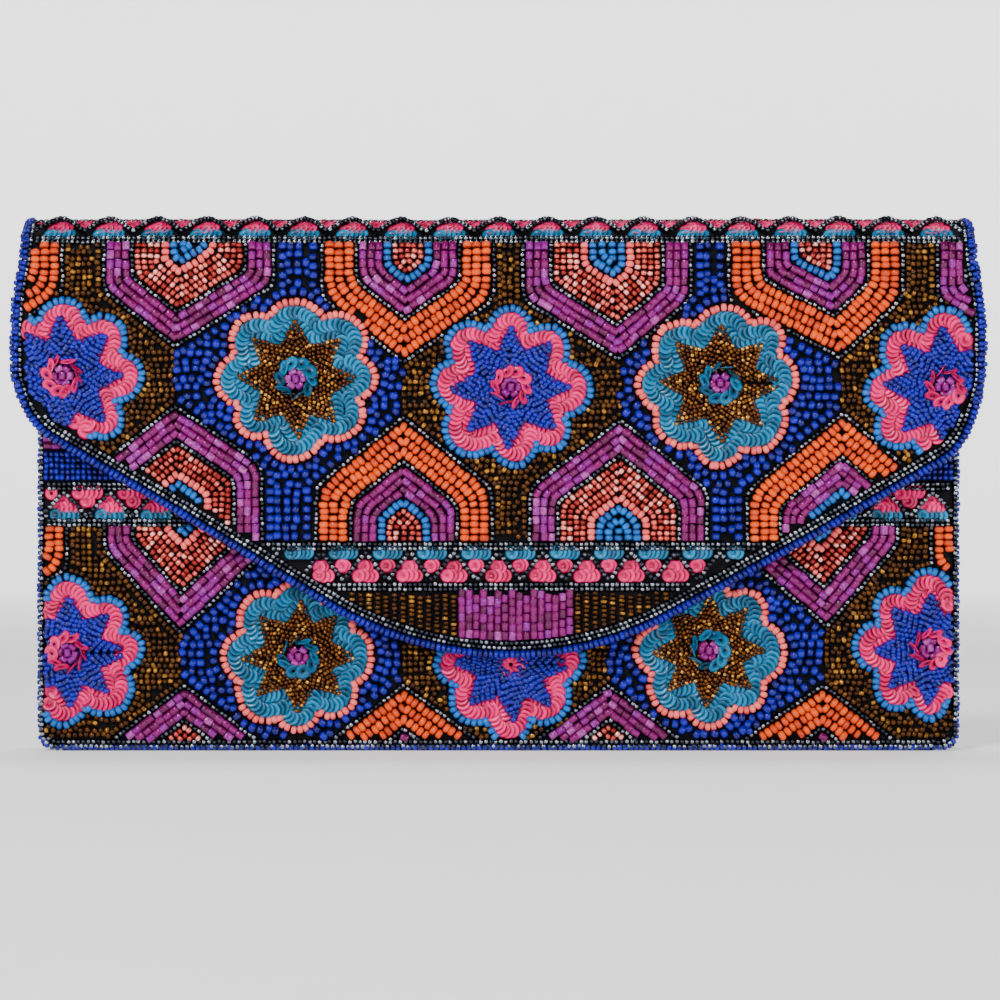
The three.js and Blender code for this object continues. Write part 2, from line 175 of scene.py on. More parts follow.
BACK_CORNER_S = STRIP_END_S - BODY_CORNER
BACK_CORNERS = corner_arc(INNER_HALF, BACK_CORNER_S, 0) + corner_arc(-INNER_HALF, BACK_CORNER_S, 90)
FRONT_CORNERS = corner_arc(-INNER_HALF, BODY_CORNER, 180) + corner_arc(INNER_HALF, BODY_CORNER, 270)


def strip_outline():
    right, left = [[(sign * strip_half(s), s) for s in np.linspace(FOLD_Z, BACK_CORNER_S, 40)[1:-1]]
                   for sign in (1, -1)]
    return FLAP_SIDES[1][::-1] + right + BACK_CORNERS + left[::-1] + FLAP_SIDES[-1][:-1]


# ---- Surfaces: (x, s, height above the ground cloth) to places in the frame ----


def quilt(x, s):
    """The gentle unevenness of hand-sewn cloth, from 0 to 0.5 mm."""
    return 0.25 + 0.13 * np.sin(x / 15 + 0.6) * np.sin(s / 12 + 1.1) + 0.1 * np.sin(x / 31 - s / 23)


def strip_frame(x, s, h):
    """Flap, fold and back as one strip. s is height on the flap, then length along the cloth."""
    theta = np.clip((s - FOLD_Z) / PATTERN_R, 0, pi)
    drop = np.minimum(s - FOLD_Z, 0) - np.maximum(s - BACK_S, 0)
    r = CLOTH_R + h
    zero = np.zeros_like(x)
    point = np.stack([x, -r * np.cos(theta), FOLD_Z + r * np.sin(theta) + drop], -1)
    normal = np.stack([zero, -np.cos(theta), np.sin(theta)], -1)
    return point, normal, np.stack([zero, np.sin(theta), np.cos(theta)], -1)


def front_frame(x, s, h):
    zero, one = np.zeros_like(x), np.ones_like(x)
    point = np.stack([x, -FRONT_CLOTH_Y - h, s], -1)
    return point, np.stack([zero, -one, zero], -1), np.stack([zero, zero, one], -1)


def lining_frame(x, s, h):
    """The lining's side of the strip."""
    point, normal, along = strip_frame(x, s, LINING_IN_H - h)
    return point, -normal, along


class Region:
    """A closed outline in (x, s). depth is the distance inside it, and below 0 outside."""

    def __init__(self, outline):
        starts = np.array(outline, float)
        self.low = starts.min(0) - 4
        size = np.ceil(starts.max(0) + 4 - self.low).astype(int) + 2
        x, s = np.meshgrid(self.low[0] + np.arange(size[0]), self.low[1] + np.arange(size[1]), indexing="ij")
        nearest = np.full(x.shape, 1e9)
        inside = np.zeros(x.shape, bool)
        for p, q in zip(starts, np.roll(starts, -1, axis=0)):
            run = q - p
            t = np.clip(((x - p[0]) * run[0] + (s - p[1]) * run[1]) / max(run @ run, 1e-9), 0, 1)
            nearest = np.minimum(nearest, np.hypot(x - p[0] - t * run[0], s - p[1] - t * run[1]))
            if p[1] != q[1]:
                crosses = (p[1] > s) != (q[1] > s)
                inside ^= crosses & (x < p[0] + run[0] * (s - p[1]) / run[1])
        self.grid = np.where(inside, nearest, -nearest)

    def depth(self, x, s):
        i, j = x - self.low[0], s - self.low[1]
        a, b = int(i), int(j)
        g = self.grid
        if i < 0 or j < 0 or a + 1 >= g.shape[0] or b + 1 >= g.shape[1]:
            return -9.0
        i, j = i - a, j - b
        low = g[a, b] * (1 - i) + g[a + 1, b] * i
        high = g[a, b + 1] * (1 - i) + g[a + 1, b + 1] * i
        return low * (1 - j) + high * j


# ---- Paths ----


def offset_path(path, distance):
    """The path moved to its left by a distance, with mitred corners."""
    p = np.array(path, float)
    after = np.roll(p, -1, axis=0) - p
    before = p - np.roll(p, 1, axis=0)
    after[-1] = before[-1]
    before[0] = after[0]
    after /= np.maximum(np.linalg.norm(after, axis=1), 1e-9)[:, None]
    before /= np.maximum(np.linalg.norm(before, axis=1), 1e-9)[:, None]
    n1 = np.stack([-before[:, 1], before[:, 0]], -1)
    n2 = np.stack([-after[:, 1], after[:, 0]], -1)
    mitre = (n1 + n2) / np.maximum(1 + (n1 * n2).sum(1), 0.4)[:, None]
    return p + distance * mitre


def rounded(path, radii):
    """The path with each inner corner cut by a small curve of its own radius."""
    out = [tuple(path[0])]
    for radius, *corner in zip(radii, path, path[1:], path[2:]):
        p, q, r = (np.array(point, float) for point in corner)
        start, end = [q + (other - q) * min(radius / max(np.linalg.norm(other - q), 1e-9), 0.5)
                      for other in (p, r)]
        out += bezier(start, q, end, 5)
    return out + [tuple(path[-1])]


def stations(path, pitch):
    """Places and directions evenly spaced along a path, about a pitch apart."""
    p = np.array(path, float)
    step = np.diff(p, axis=0)
    length = np.hypot(step[:, 0], step[:, 1])
    ends = np.concatenate([[0], np.cumsum(length)])
    count = max(1, int(round(ends[-1] / pitch)))
    at = (np.arange(count) + 0.5) * ends[-1] / count
    segment = np.clip(np.searchsorted(ends, at) - 1, 0, len(step) - 1)
    share = (at - ends[segment]) / np.maximum(length[segment], 1e-9)
    return p[segment] + share[:, None] * step[segment], np.arctan2(step[segment, 1], step[segment, 0])


def circle(steps, count=None):
    """Evenly spaced angles round a circle."""
    return [2 * pi * i / steps for i in range(steps if count is None else count)]


# ---- Bead shapes, as unit templates: X along the string, Z away from the cloth ----


def ring_faces(count, segments, flip=False, wrap=False):
    """Four-cornered faces between rings of points. wrap joins the last ring to the first."""
    faces = []
    for i in range(count if wrap else count - 1):
        for j in range(segments):
            k = (j + 1) % segments
            row, following = i * segments, (i + 1) % count * segments
            face = (row + j, row + k, following + k, following + j)
            faces.append((face[0], face[3], face[2], face[1]) if flip else face)
    return faces


class Template:
    """A bead's shape. shade is the painted shade at each vertex: how much darker or lighter its colour is
    painted there, as at the ends where beads meet.
    """

    def __init__(self, verts, faces, uvs, shade):
        self.verts = np.array(verts, float)
        self.loops = np.concatenate(faces)
        self.sizes = np.array([len(face) for face in faces])
        self.uvs = np.array(uvs)
        self.shade = np.array(shade, float)


def turned_template(rings, segments, pole, painted_end_shade):
    """A closed solid about X from (x, radius) rings. Each end closes to a dimple at pole times its x."""
    verts = [(x, radius * cos(a), radius * sin(a)) for x, radius in rings for a in circle(segments)]
    last = len(rings) - 1
    faces, uvs = ring_faces(len(rings), segments), []
    for i in range(last):
        for j in range(segments):
            left, right, low, high = j / segments, (j + 1) / segments, i / last, (i + 1) / last
            uvs += [(left, low), (right, low), (right, high), (left, high)]
    for end, v in ((0, 0.0), (last, 1.0)):
        for j in range(segments):
            k = (j + 1) % segments
            pair = (k, j) if end == 0 else (j, k)
            faces.append((len(verts), *(end * segments + corner for corner in pair)))
            uvs += [(0.5, v), (k / segments, v), (j / segments, v)]
        verts.append((rings[end][0] * pole, 0, 0))
    # Painted shade: the ends, where one bead meets the next on a string, are painted darker.
    shade = [-painted_end_shade * max(0.0, (abs(x) - 0.6) / 0.4) ** 2 for x, _, _ in verts]
    return Template(verts, faces, uvs, shade)


def sequin_template():
    """A flat round sequin with a hole and a slight cup, from (radius, z, painted shade) rings. Z is its face.
    """
    segments = 14
    # Painted shade darkens the hole and the rim, where overlapping sequins meet; the ring across the cup is
    # painted slightly lighter.
    rings = [(0.2, -0.03, -0.2), (0.2, 0.03, -0.2), (0.76, 0.07, 0.12), (1.0, 0.1, -0.3), (1.0, 0.04, -0.5)]
    verts = [(radius * cos(a), radius * sin(a), z)
             for radius, z, _ in rings for a in circle(segments)]
    faces = ring_faces(len(rings), segments, flip=True, wrap=True)
    uvs = [(0.5 + verts[v][0] / 2, 0.5 + verts[v][1] / 2) for face in faces for v in face]
    return Template(verts, faces, uvs, [shade for _, _, shade in rings for _ in range(segments)])


SEED_RINGS = [(-0.98, 0.42), (-0.88, 0.7), (-0.55, 0.93), (0.0, 1.0), (0.55, 0.93), (0.88, 0.7), (0.98, 0.42)]
# The last number of each turned shape is how much painted shade darkens its ends.
TEMPLATES = {
    "seed": turned_template(SEED_RINGS, 9, 0.8, 0.55),
    "star_seed": turned_template(SEED_RINGS, 8, 0.8, 0.55),
    "small": turned_template([(-0.95, 0.55), (-0.5, 0.95), (0.5, 0.95), (0.95, 0.55)], 8, 0.8, 0.4),
    "bugle": turned_template(
        [(-1.0, 0.74), (-0.97, 0.93), (-0.9, 1.0), (0.9, 1.0), (0.97, 0.93), (1.0, 0.74)], 10, 0.9, 0.15),
    "sequin": sequin_template(),
}

# kind: template, radius, half length, pitch along a string, record slot
KINDS = {
    "steel": ("small", 0.86, 0.76, 1.58, "steel_beads"),
    "cobalt_rim": ("seed", 1.27, 0.8, 1.66, "cobalt_beads"),
    "cobalt": ("seed", 1.42, 1.16, 2.9, "cobalt_beads"),
    "cobalt_small": ("small", 0.98, 0.8, 1.7, "cobalt_beads"),
    "cobalt_star": ("star_seed", 1.0, 0.84, 1.75, "cobalt_beads"),
    "orange": ("seed", 1.5, 1.0, 2.08, "orange_beads"),
    "salmon": ("seed", 1.3, 0.95, 1.95, "salmon_beads"),
    "sky": ("seed", 1.32, 0.95, 1.95, "sky_beads"),
    "purple": ("bugle", 1.17, 1.3, 2.68, "purple_bugles"),
    "copper": ("seed", 0.98, 0.82, 1.72, "copper_beads"),
    "amber": ("seed", 1.0, 0.84, 1.78, "amber_beads"),
    "amber_fine": ("seed", 1.02, 0.66, 1.4, "amber_beads"),
    "gold": ("small", 0.66, 0.68, 1.42, "gold_bugles"),
    "pink_sequin": ("sequin", 2.5, 2.5, 1.5, "pink_sequins"),
    "teal_sequin": ("sequin", 2.5, 2.5, 1.6, "turquoise_sequins"),
    "stitch": ("small", 0.17, 1.1, 3.1, "satin"),
}
CELL = 4
OUT = (0.0, 0.0, 1.0)


class Beadwork:
    """Beads laid on one surface, kept inside its outline."""

    def __init__(self, frame_of, outline, margin, uneven=1.0):
        self.frame_of = frame_of
        self.region = Region(outline)
        self.margin = margin
        self.uneven = uneven
        self.rows = defaultdict(list)
        self.cells = defaultdict(list)
        self.pending, self.flowers, self.outlines, self.shapes = [], [], [], []

    def crowded(self, x, s, radius, slack):
        cx, cs = int(x // CELL), int(s // CELL)
        near = [bead for i in (-1, 0, 1) for j in (-1, 0, 1) for bead in self.cells[(cx + i, cs + j)]]
        return any(hypot(ox - x, os - s) < radius + taken - slack for ox, os, taken in near)

    def place(self, kind, x, s, toward, face, lift, size=1.0, length=1.0, tone=None):
        """Records one bead. toward and face are its X and Z, in (x, along, out) directions."""
        radius = KINDS[kind][1] * size
        half = KINDS[kind][2] * size * length
        tone = RNG.random() if tone is None else tone
        self.rows[kind].append((x, s, lift, *toward, *face, half, radius, tone))
        self.pending.append((x, s, radius))

    def settle(self):
        """Makes the beads laid so far count as taken room."""
        for x, s, radius in self.pending:
            self.cells[(int(x // CELL), int(s // CELL))].append((x, s, radius))
        self.pending = []

    def inside(self, x, s, margin, extra):
        return self.region.depth(x, s) >= (self.margin(s) if margin is None else margin) + extra

    def bead(self, kind, x, s, angle, lift=0.0, size=1.0, slack=None, margin=None):
        """Lays a bead on the cloth, if there is room for it."""
        radius = KINDS[kind][1] * size
        if not self.inside(x, s, margin, 0.6 * radius):
            return False
        if slack is not None and self.crowded(x, s, radius, slack):
            return False
        self.place(kind, x, s, (cos(angle), sin(angle), 0.0), OUT, radius + lift, size)
        return True

    def sequin(self, kind, x, s, angle, tilt, lift=0.8, size=1.0):
        """Lays a sequin that leans back along its string, over the one before it."""
        if self.inside(x, s, None, 0.7 * KINDS[kind][1] * size):
            c, d = cos(tilt), sin(tilt)
            toward = (c * cos(angle), c * sin(angle), d)
            self.place(kind, x, s, toward, (-d * cos(angle), -d * sin(angle), c), lift, size)

    def string(self, kind, path, slack=None, lift=0.0, margin=None, clear_flowers=False,
               low=-1e9, high=1e9, wobble=0.12, wanted=None):
        """Threads beads of one kind along a path."""
        for (x, s), angle in zip(*stations(path, KINDS[kind][3])):
            if not low <= s <= high or (wanted and not wanted(x, s)):
                continue
            x += RNG.normal(0, wobble)
            s += RNG.normal(0, wobble)
            if clear_flowers and self.in_flower(x, s):
                continue
            size = 1 + RNG.normal(0, 0.035)
            self.bead(kind, x, s, angle + RNG.normal(0, 0.05), lift, size, slack, margin)
        self.settle()

    def sequin_string(self, kind, path, lift):
        for (x, s), angle in zip(*stations(path, KINDS[kind][3])):
            tilt = 0.33 + RNG.normal(0, 0.05)
            self.sequin(kind, x, s, angle + RNG.normal(0, 0.1), tilt, lift, 1 + RNG.normal(0, 0.02))
        self.settle()

    def in_flower(self, x, s):
        return any(flower.holds(x, s) for flower in self.flowers)


# ---- Motifs ----

FLOWER_LOBES = 8
LOBE_ROUNDNESS = 0.75
FLOWER_REACH = 30
FLOWER_CLEAR = 1.9
FLOWER_STYLES = {
    "pink": {"outline": "sky", "ring": "pink_sequin", "star": "cobalt_star",
             "notch": 18.8, "lobe": 5.8, "tip": 18.4, "valley": 10.9, "row": 2.0},
    "teal": {"outline": "salmon", "ring": "teal_sequin", "star": "gold",
             "notch": 20.2, "lobe": 4.6, "tip": 18.4, "valley": 11.2, "row": 1.9},
}


class Flower:
    """A lobed flower, slightly uneven as sewn by hand."""

    def __init__(self, x, s, style, size=1.0):
        self.x, self.s, self.look, self.size = x, s, FLOWER_STYLES[style], size
        self.phases = RNG.uniform(0, 2 * pi, 5)

    def at(self, angle, radius):
        return self.x + radius * cos(angle), self.s + radius * sin(angle)

    def radius(self, angle):
        p = self.phases
        bent = angle + 0.06 * sin(2 * angle + p[0]) + 0.05 * sin(3 * angle + p[1])
        bulge = abs(cos(bent * FLOWER_LOBES / 2)) ** LOBE_ROUNDNESS
        uneven = 0.6 * sin(angle + p[2]) + 0.6 * sin(3 * angle + p[3])
        uneven += 0.4 * sin(5 * angle + p[4])
        return self.size * (self.look["notch"] + self.look["lobe"] * bulge + uneven)

    def holds(self, x, s):
        away = hypot(x - self.x, s - self.s)
        if away >= FLOWER_REACH:
            return False
        return away < self.radius(atan2(s - self.s, x - self.x)) + FLOWER_CLEAR

    def ring(self, inset):
        return [self.at(a, self.radius(a) - inset) for a in circle(160, 161)]

    def star(self, tip, valley):
        points = []
        for i in range(2 * FLOWER_LOBES + 1):
            a = pi * i / FLOWER_LOBES - 0.05 * sin(self.phases[0] + i)
            r = tip + 0.4 * sin(3 * i + self.phases[1]) if i % 2 == 0 else valley
            points.append(self.at(a, self.size * r))
        return points


PETALS, PETAL_RADIUS, PETAL_LIFT, PETAL_SIZE = 10, 4.9, 3.3, 1.08
BUGLES, BUGLE_RADIUS, BUGLE_LIFT, BUGLE_LENGTH = 6, 2.5, 3.4, 0.95
FLAT_PETALS, FLAT_RADIUS, FLAT_TILT, FLAT_LIFT = 9, 3.0, 0.2, 1.6


def rosette(work, flower):
    """Sequins standing like rose petals round a cluster of bugles."""
    open_side = RNG.uniform(0, 2 * pi)
    for turn in circle(PETALS):
        a = turn + RNG.normal(0, 0.07)
        lean = radians(30 + 20 * sin(a + open_side) + RNG.normal(0, 5))
        swirl = a + radians(27 + RNG.normal(0, 6))
        outward = (cos(swirl), sin(swirl))
        face = (outward[0] * cos(lean), outward[1] * cos(lean), sin(lean))
        up = (-outward[0] * sin(lean), -outward[1] * sin(lean), cos(lean))
        work.place(flower.look["ring"], *flower.at(a, PETAL_RADIUS), up, face, PETAL_LIFT, PETAL_SIZE)
    for i, turn in enumerate(circle(BUGLES, BUGLES + 1)):
        a = turn + RNG.normal(0, 0.12)
        across = np.array((-sin(a), cos(a), RNG.normal(0, 0.15)))
        across /= np.linalg.norm(across)
        face = np.cross(across, (cos(a), sin(a), -0.2))
        face /= np.linalg.norm(face)
        place = flower.at(a, BUGLE_RADIUS if i < BUGLES else 0.0)
        work.place("purple", *place, across, face, BUGLE_LIFT, 1.0, BUGLE_LENGTH, RNG.uniform(0.5, 1))
    work.settle()


def flat_rosette(work, flower):
    """A rosette pressed flat, where the flap lies over it."""
    for a in circle(FLAT_PETALS):
        work.sequin(flower.look["ring"], *flower.at(a, FLAT_RADIUS), a + pi / 2, FLAT_TILT, FLAT_LIFT)
    work.settle()


def sew_flower(work, flower, pressed=False):
    look = flower.look
    work.string(look["outline"], flower.ring(0.0), slack=1.1, wobble=0.15)
    tip, valley = look["tip"], look["valley"]
    work.sequin_string(look["ring"], flower.star(tip + 1.4, valley + 2.6), 0.4)
    work.sequin_string(look["ring"], flower.ring(3.5), 0.9)
    while tip > 4.4:
        work.string(look["star"], flower.star(tip, valley), lift=0.6, wobble=0.1)
        tip -= 1.3 * look["row"]
        valley = max(valley - 0.8 * look["row"], 1.2)
    if pressed:
        flat_rosette(work, flower)
    elif work.region.depth(flower.x, flower.s) > 7:
        rosette(work, flower)


PENTAGON_ROWS = {
    "orange": [("steel", 0), ("orange", 2.45), ("orange", 5.45), ("orange", 8.45), ("steel", 10.8),
               ("purple", 12.9), ("purple", 15.35), ("purple", 17.8), ("sky", 20.5),
               ("copper", 22.9), ("copper", 24.9)],
    "purple": [("steel", 0), ("purple", 2.05), ("purple", 4.4), ("purple", 6.75), ("steel", 8.7),
               ("copper", 10.6), ("copper", 12.6), ("copper", 14.6), ("copper", 16.6), ("salmon", 19.1),
               ("sky", 21.8), ("sky", 24.6)],
    "orange_narrow": [("steel", 0), ("orange", 2.4), ("orange", 5.3), ("orange", 8.2), ("steel", 10.4),
                      ("purple", 12.2), ("purple", 14.3), ("purple", 16.4), ("sky", 18.7)],
    "purple_narrow": [("steel", 0), ("purple", 2.05), ("purple", 4.4), ("purple", 6.75), ("steel", 8.7),
                      ("copper", 10.6), ("copper", 12.6), ("copper", 14.6), ("salmon", 17.0), ("sky", 19.7)],
}
WIDEST_HOLE = 9.0


def pentagon(work, base, style, left, right, shoulder_left, shoulder_right, tip):
    """Nested rows hanging from, or standing on, the line s = base, and one string up the middle.

    tip is (x, s)."""
    side = 1 if tip[1] < base else -1
    outline = [(left, base), (left, shoulder_left), tip, (right, shoulder_right), (right, base)]
    work.shapes.append(Region(outline))
    work.outlines.append(outline)
    low, high = (-1e9, base - 0.4) if side > 0 else (base + 0.4, 1e9)
    limits = {"slack": 0.9, "clear_flowers": True, "low": low, "high": high}
    for kind, offset in PENTAGON_ROWS[style]:
        row = offset_path(outline, offset * side)
        gap = right - left - 2 * offset
        if gap < 1.6:
            break
        peak = row[2]
        peak[0] = min(max(peak[0], left + offset), right - offset)
        for k in (1, 3):
            row[k, 1] = max(row[k, 1], peak[1]) if side > 0 else min(row[k, 1], peak[1])
        if (base - peak[1]) * side < 0.5:
            break
        corner = {"orange": 4.5, "purple": 3.0, "steel": 3.0 if offset < 5 else 2.0}.get(kind, 2.0)
        work.string(kind, rounded(row, (corner, 0.5, corner)), **limits)
        inmost = (kind, gap, peak[1])
    kind, gap, end = inmost
    if gap < WIDEST_HOLE:
        middle = (left + right) / 2
        work.string(kind, [(middle, base), (middle, end)], **limits)


# kind, under the peak or the foot, share of the zigzag's rise, number across, gap
BAND_PATCHES = {
    "domes": [("pink_sequin", True, 0.16, 4, 1.5), ("pink_sequin", True, 0.46, 2, 1.2),
              ("pink_sequin", False, 0.5, 2, 1.1), ("teal_sequin", False, 0.95, 5, 1.35)],
    "patches": [("teal_sequin", True, 0.02, 5, 1.5), ("pink_sequin", True, 0.34, 4, 1.5),
                ("pink_sequin", True, 0.6, 2, 1.2), ("pink_sequin", False, 0.6, 2, 1.0),
                ("pink_sequin", False, 0.95, 5, 1.5)],
}


def level(work, kind, half, s, **how):
    """A straight string across the purse, from -half to half."""
    work.string(kind, [(-half, s), (half, s)], **how)


def zigzag_band(work, low, high, half, style, period):
    """Steel rows with a zigzag between them over patches of sequins."""
    for s in (low - 0.6, low + 0.85, high - 0.85, high - 2.3):
        level(work, "steel", half, s, wobble=0.07)
    foot, peak = low + 2.2, high - 3.2
    count = int(round(2 * half / period))
    step = 2 * half / count
    path = []
    for i in range(count):
        start = -half + i * step
        path += [(start, foot), (start + step / 2, peak)]
        for kind, under_peak, share, number, gap in BAND_PATCHES[style]:
            for k in range(number):
                at = start + (step / 2 if under_peak else 0) + (k - (number - 1) / 2) * gap
                s = foot + share * (peak - foot) + RNG.normal(0, 0.12)
                work.sequin(kind, at, s, RNG.normal(0, 0.1), 0.24, 0.75, 0.86)
        work.settle()
    path.append((half, foot))
    work.string("steel", rounded(path, [1.2] * (len(path) - 2)), lift=1.5, wobble=0.06)


def fill(work, kind, pitch, apart, low, high, wanted, slack, jitter):
    """Rows of beads over the cloth that is still bare, each where there is room for it."""
    s = low
    while s < high:
        x = -FLAP_HALF + RNG.uniform(0, pitch)
        phase = RNG.uniform(0, 6)
        while x < FLAP_HALF:
            at = s + 0.35 * sin(x / 8 + phase) + RNG.normal(0, jitter)
            angle = RNG.normal(0, 0.25) + (pi / 2 if RNG.random() < 0.3 else 0)
            room = wanted(x, at) and not work.in_flower(x, at)
            room = room and not any(shape.depth(x, at) > -0.3 for shape in work.shapes)
            if room and work.bead(kind, x, at, angle, slack=slack, size=1 + RNG.normal(0, 0.04)):
                work.settle()
                x += pitch + RNG.normal(0, jitter)
            else:
                x += 0.4
        s += apart


def fill_cells(work, edges, low, high):
    """Amber round the pink flowers and cobalt round the teal ones, split at the pentagons' tips."""

    def cell_is(pink):
        return lambda x, s: low <= s <= high and (sum(x > e for e in edges) % 2 == 0) == pink

    for kind, pink, contour in (("amber", True, 1.85), ("cobalt", False, 2.75)):
        for flower in work.flowers:
            work.string(kind, flower.ring(-contour - 0.4), slack=0.6, wanted=cell_is(pink), wobble=0.15)
        for outline in work.outlines:
            away = contour * (1 if outline[2][1] > outline[0][1] else -1)
            work.string(kind, offset_path(outline, away), slack=0.6, wanted=cell_is(pink), clear_flowers=True)
    fill(work, "amber", 1.85, 1.85, low, high, cell_is(True), 0.6, 0.1)
    fill(work, "cobalt", 2.8, 2.75, low, high, cell_is(False), 0.85, 0.16)


def columns(work, kind, spacing, high, left, right):
    """Straight vertical strings between two x, down to the inner row of steel."""
    count = int(round((right - left) / spacing))
    for i in range(count + 1):
        x = left + (right - left) * i / count
        tilt = asin(min(abs(x), TIP_HALF) / TIP_RADIUS)
        low = flap_lower_edge(x) + LENS_INSET / cos(tilt)
        if low < high - 2:
            start = high + RNG.uniform(0, KINDS[kind][3])
            work.string(kind, [(x, low), (x, start)], slack=0.9, margin=5.0, wobble=0.08, high=high - 0.4)


# ---- The outer strip: flap, fold and back ----

FOLD_BAND = (160.3, FOLD_TOP_S)
BACK_BAND = (267.9, 282.2)
FLAP_FLOWERS = [(-136.1, 117.5, "pink"), (-63.3, 116.6, "teal"), (3.9, 114.1, "pink"),
                (69.2, 115.3, "teal"), (139.5, 114.1, "pink")]
FLAP_CELLS = (-101.1, -29.8, 38.0, 107.3)

# style, left, right, left shoulder, right shoulder, tip
FLAP_HANGING = [
    ("orange", -190.0, -136.4, 143.0, 143.0, (-165.0, 125.0)),
    ("purple", -123.3, -70.2, 144.4, 145.9, (-101.1, 126.9)),
    ("orange", -55.2, -1.4, 142.2, 141.3, (-29.8, 121.9)),
    ("purple", 7.7, 60.2, 141.6, 141.6, (37.7, 122.8)),
    ("orange", 72.0, 126.4, 141.3, 142.0, (107.0, 123.4)),
    ("purple", 137.3, 190.0, 141.5, 141.5, (170.0, 121.0)),
]
FLAP_STANDING = [
    ("purple_narrow", -126.0, -73.9, 88.5, 89.7, (-101.1, 108.1)),
    ("orange", -57.0, -2.0, 83.0, 82.5, (-29.8, 104.7)),
    ("purple", 9.8, 65.2, 82.5, 82.0, (38.3, 103.8)),
    ("orange_narrow", 77.7, 133.0, 81.5, 84.0, (107.7, 105.9)),
]
LENS_MIDDLE = (-11.4, 22.3)
LENS_INSET = 5.7
FLAP_MARGIN, FOLD_MARGIN, BACK_MARGIN = 5.7, 3.9, 3.3


def strip_margin(s):
    """How much of the edge the edge beading takes."""
    if s < CORNER_END_Z - 8:
        return FLAP_MARGIN
    return FOLD_MARGIN if s < BACK_S else BACK_MARGIN


def edge_flap(work):
    """Cobalt along the very edge, with two rows of steel inside it, and one row up the sides."""
    left, right = [[(sign * strip_half(s), s) for s in np.linspace(FOLD_Z, BACK_S, 16)[1:]]
                   for sign in (-1, 1)]
    path = left[::-1] + FLAP_EDGE + right
    turn = CORNER_END_Z - 9
    work.string("cobalt_rim", offset_path(path, 1.2), margin=-2, wobble=0.05, high=turn, lift=-0.1)
    work.string("cobalt_small", offset_path(path, 0.8), margin=-2, wobble=0.16, low=turn)
    work.string("cobalt_small", offset_path(path, 1.9), margin=-2, wobble=0.2, low=turn, lift=0.4)
    work.string("steel", offset_path(path, 3.3), margin=0, wobble=0.05, high=turn)
    work.string("steel", offset_path(path, 4.8), margin=0, wobble=0.05, high=turn - 3)
    work.string("steel", offset_path(path, 3.15), margin=0, wobble=0.05, low=turn)


def edge_back(work):
    heights = np.linspace(BACK_S, BACK_CORNER_S, 30)
    path = [(BODY_HALF, s) for s in heights[:-1]] + BACK_CORNERS + [(-BODY_HALF, s) for s in heights[-2::-1]]
    work.string("cobalt_small", offset_path(path, 1.0), margin=-2)
    work.string("steel", offset_path(path, 2.6), margin=0, wobble=0.08)


def bead_flap(work):
    work.flowers = [Flower(*place) for place in FLAP_FLOWERS]
    edge_flap(work)
    for flower in work.flowers:
        sew_flower(work, flower)
    for base, shapes in ((FOLD_BAND[0] - 1.0, FLAP_HANGING), (FLAP_BAND[1], FLAP_STANDING)):
        for shape in shapes:
            pentagon(work, base, *shape)
    zigzag_band(work, *FOLD_BAND, 145.0, "patches", 15.2)
    zigzag_band(work, *FLAP_BAND, 90.0, "domes", 13.6)
    lens_top = FLAP_BAND[0] - 1.5
    left, right = LENS_MIDDLE
    columns(work, "purple", 2.3, lens_top, left, right)
    columns(work, "amber_fine", 2.7, lens_top, -69.5, left - 2.5)
    columns(work, "amber_fine", 2.7, lens_top, right + 2.5, 66.0)
    fill_cells(work, FLAP_CELLS, FLAP_BAND[1] + 1.4, FOLD_BAND[0] - 0.6)


BACK_FLOWER_ROWS = [STRIP_END_S - height for height in (128.7, 22.8)]
FLOWER_PITCH = 68.4


def bead_back(work):
    """The back's own beadwork. It is laid out like the flap's, on a regular grid."""
    cells = [(i - 1.5) * FLOWER_PITCH for i in range(4)]
    edge_back(work)
    work.flowers = [Flower((i - 2) * FLOWER_PITCH, s, "teal" if i % 2 else "pink")
                    for s in BACK_FLOWER_ROWS for i in range(5)]
    for flower in work.flowers:
        sew_flower(work, flower)
    work.outlines = []
    for away in (0.9, 2.35):
        level(work, "steel", strip_half(0), FOLD_TOP_S + away, wobble=0.08)
    start = FOLD_TOP_S + 3.2
    for base, shoulder, tip in ((start, FOLD_TOP_S + 19, FOLD_TOP_S + 38),
                                (BACK_BAND[0], BACK_BAND[0] - 18, BACK_BAND[0] - 38),
                                (BACK_BAND[1], BACK_BAND[1] + 8, BACK_BAND[1] + 34)):
        for i, x in enumerate(cells):
            style = "orange" if i % 2 else "purple"
            pentagon(work, base, style, x - 26.5, x + 26.5, shoulder, shoulder, (x, tip))
    zigzag_band(work, *BACK_BAND, 142.0, "domes", 13.6)
    fill_cells(work, cells, start + 1.2, BACK_BAND[0] - 1)
    fill_cells(work, cells, BACK_BAND[1] + 1.2, STRIP_END_S)


# ---- Front panel ----

FRONT_FLOWERS = [(-135.2, 30.9, "pink"), (-62.7, 29.7, "teal"), (3.9, 27.2, "pink"),
                 (66.1, 31.6, "teal"), (135.5, 32.2, "pink")]
FRONT_FLOWER_SIZE = 0.94
FRONT_CELLS = (-99.4, -29.8, 34.8, 103.0)
SNAP_S = 58.0
SNAP_CLEAR = 10.4
FRONT_HANGING = [
    ("orange", -190.0, -135.6, 57.0, 57.0, (-163.0, 42.0)),
    ("purple", -123.6, -71.4, 63.0, 64.0, (-100.2, 37.2)),
    ("orange", -55.2, -1.4, 64.0, 64.0, (-29.8, 37.5)),
    ("orange", 7.7, 61.0, 64.0, 64.0, (34.8, 37.5)),
    ("purple_narrow", 74.0, 125.5, 64.0, 65.0, (103.3, 39.0)),
    ("orange", 136.0, 190.0, 57.0, 57.0, (163.0, 42.0)),
]
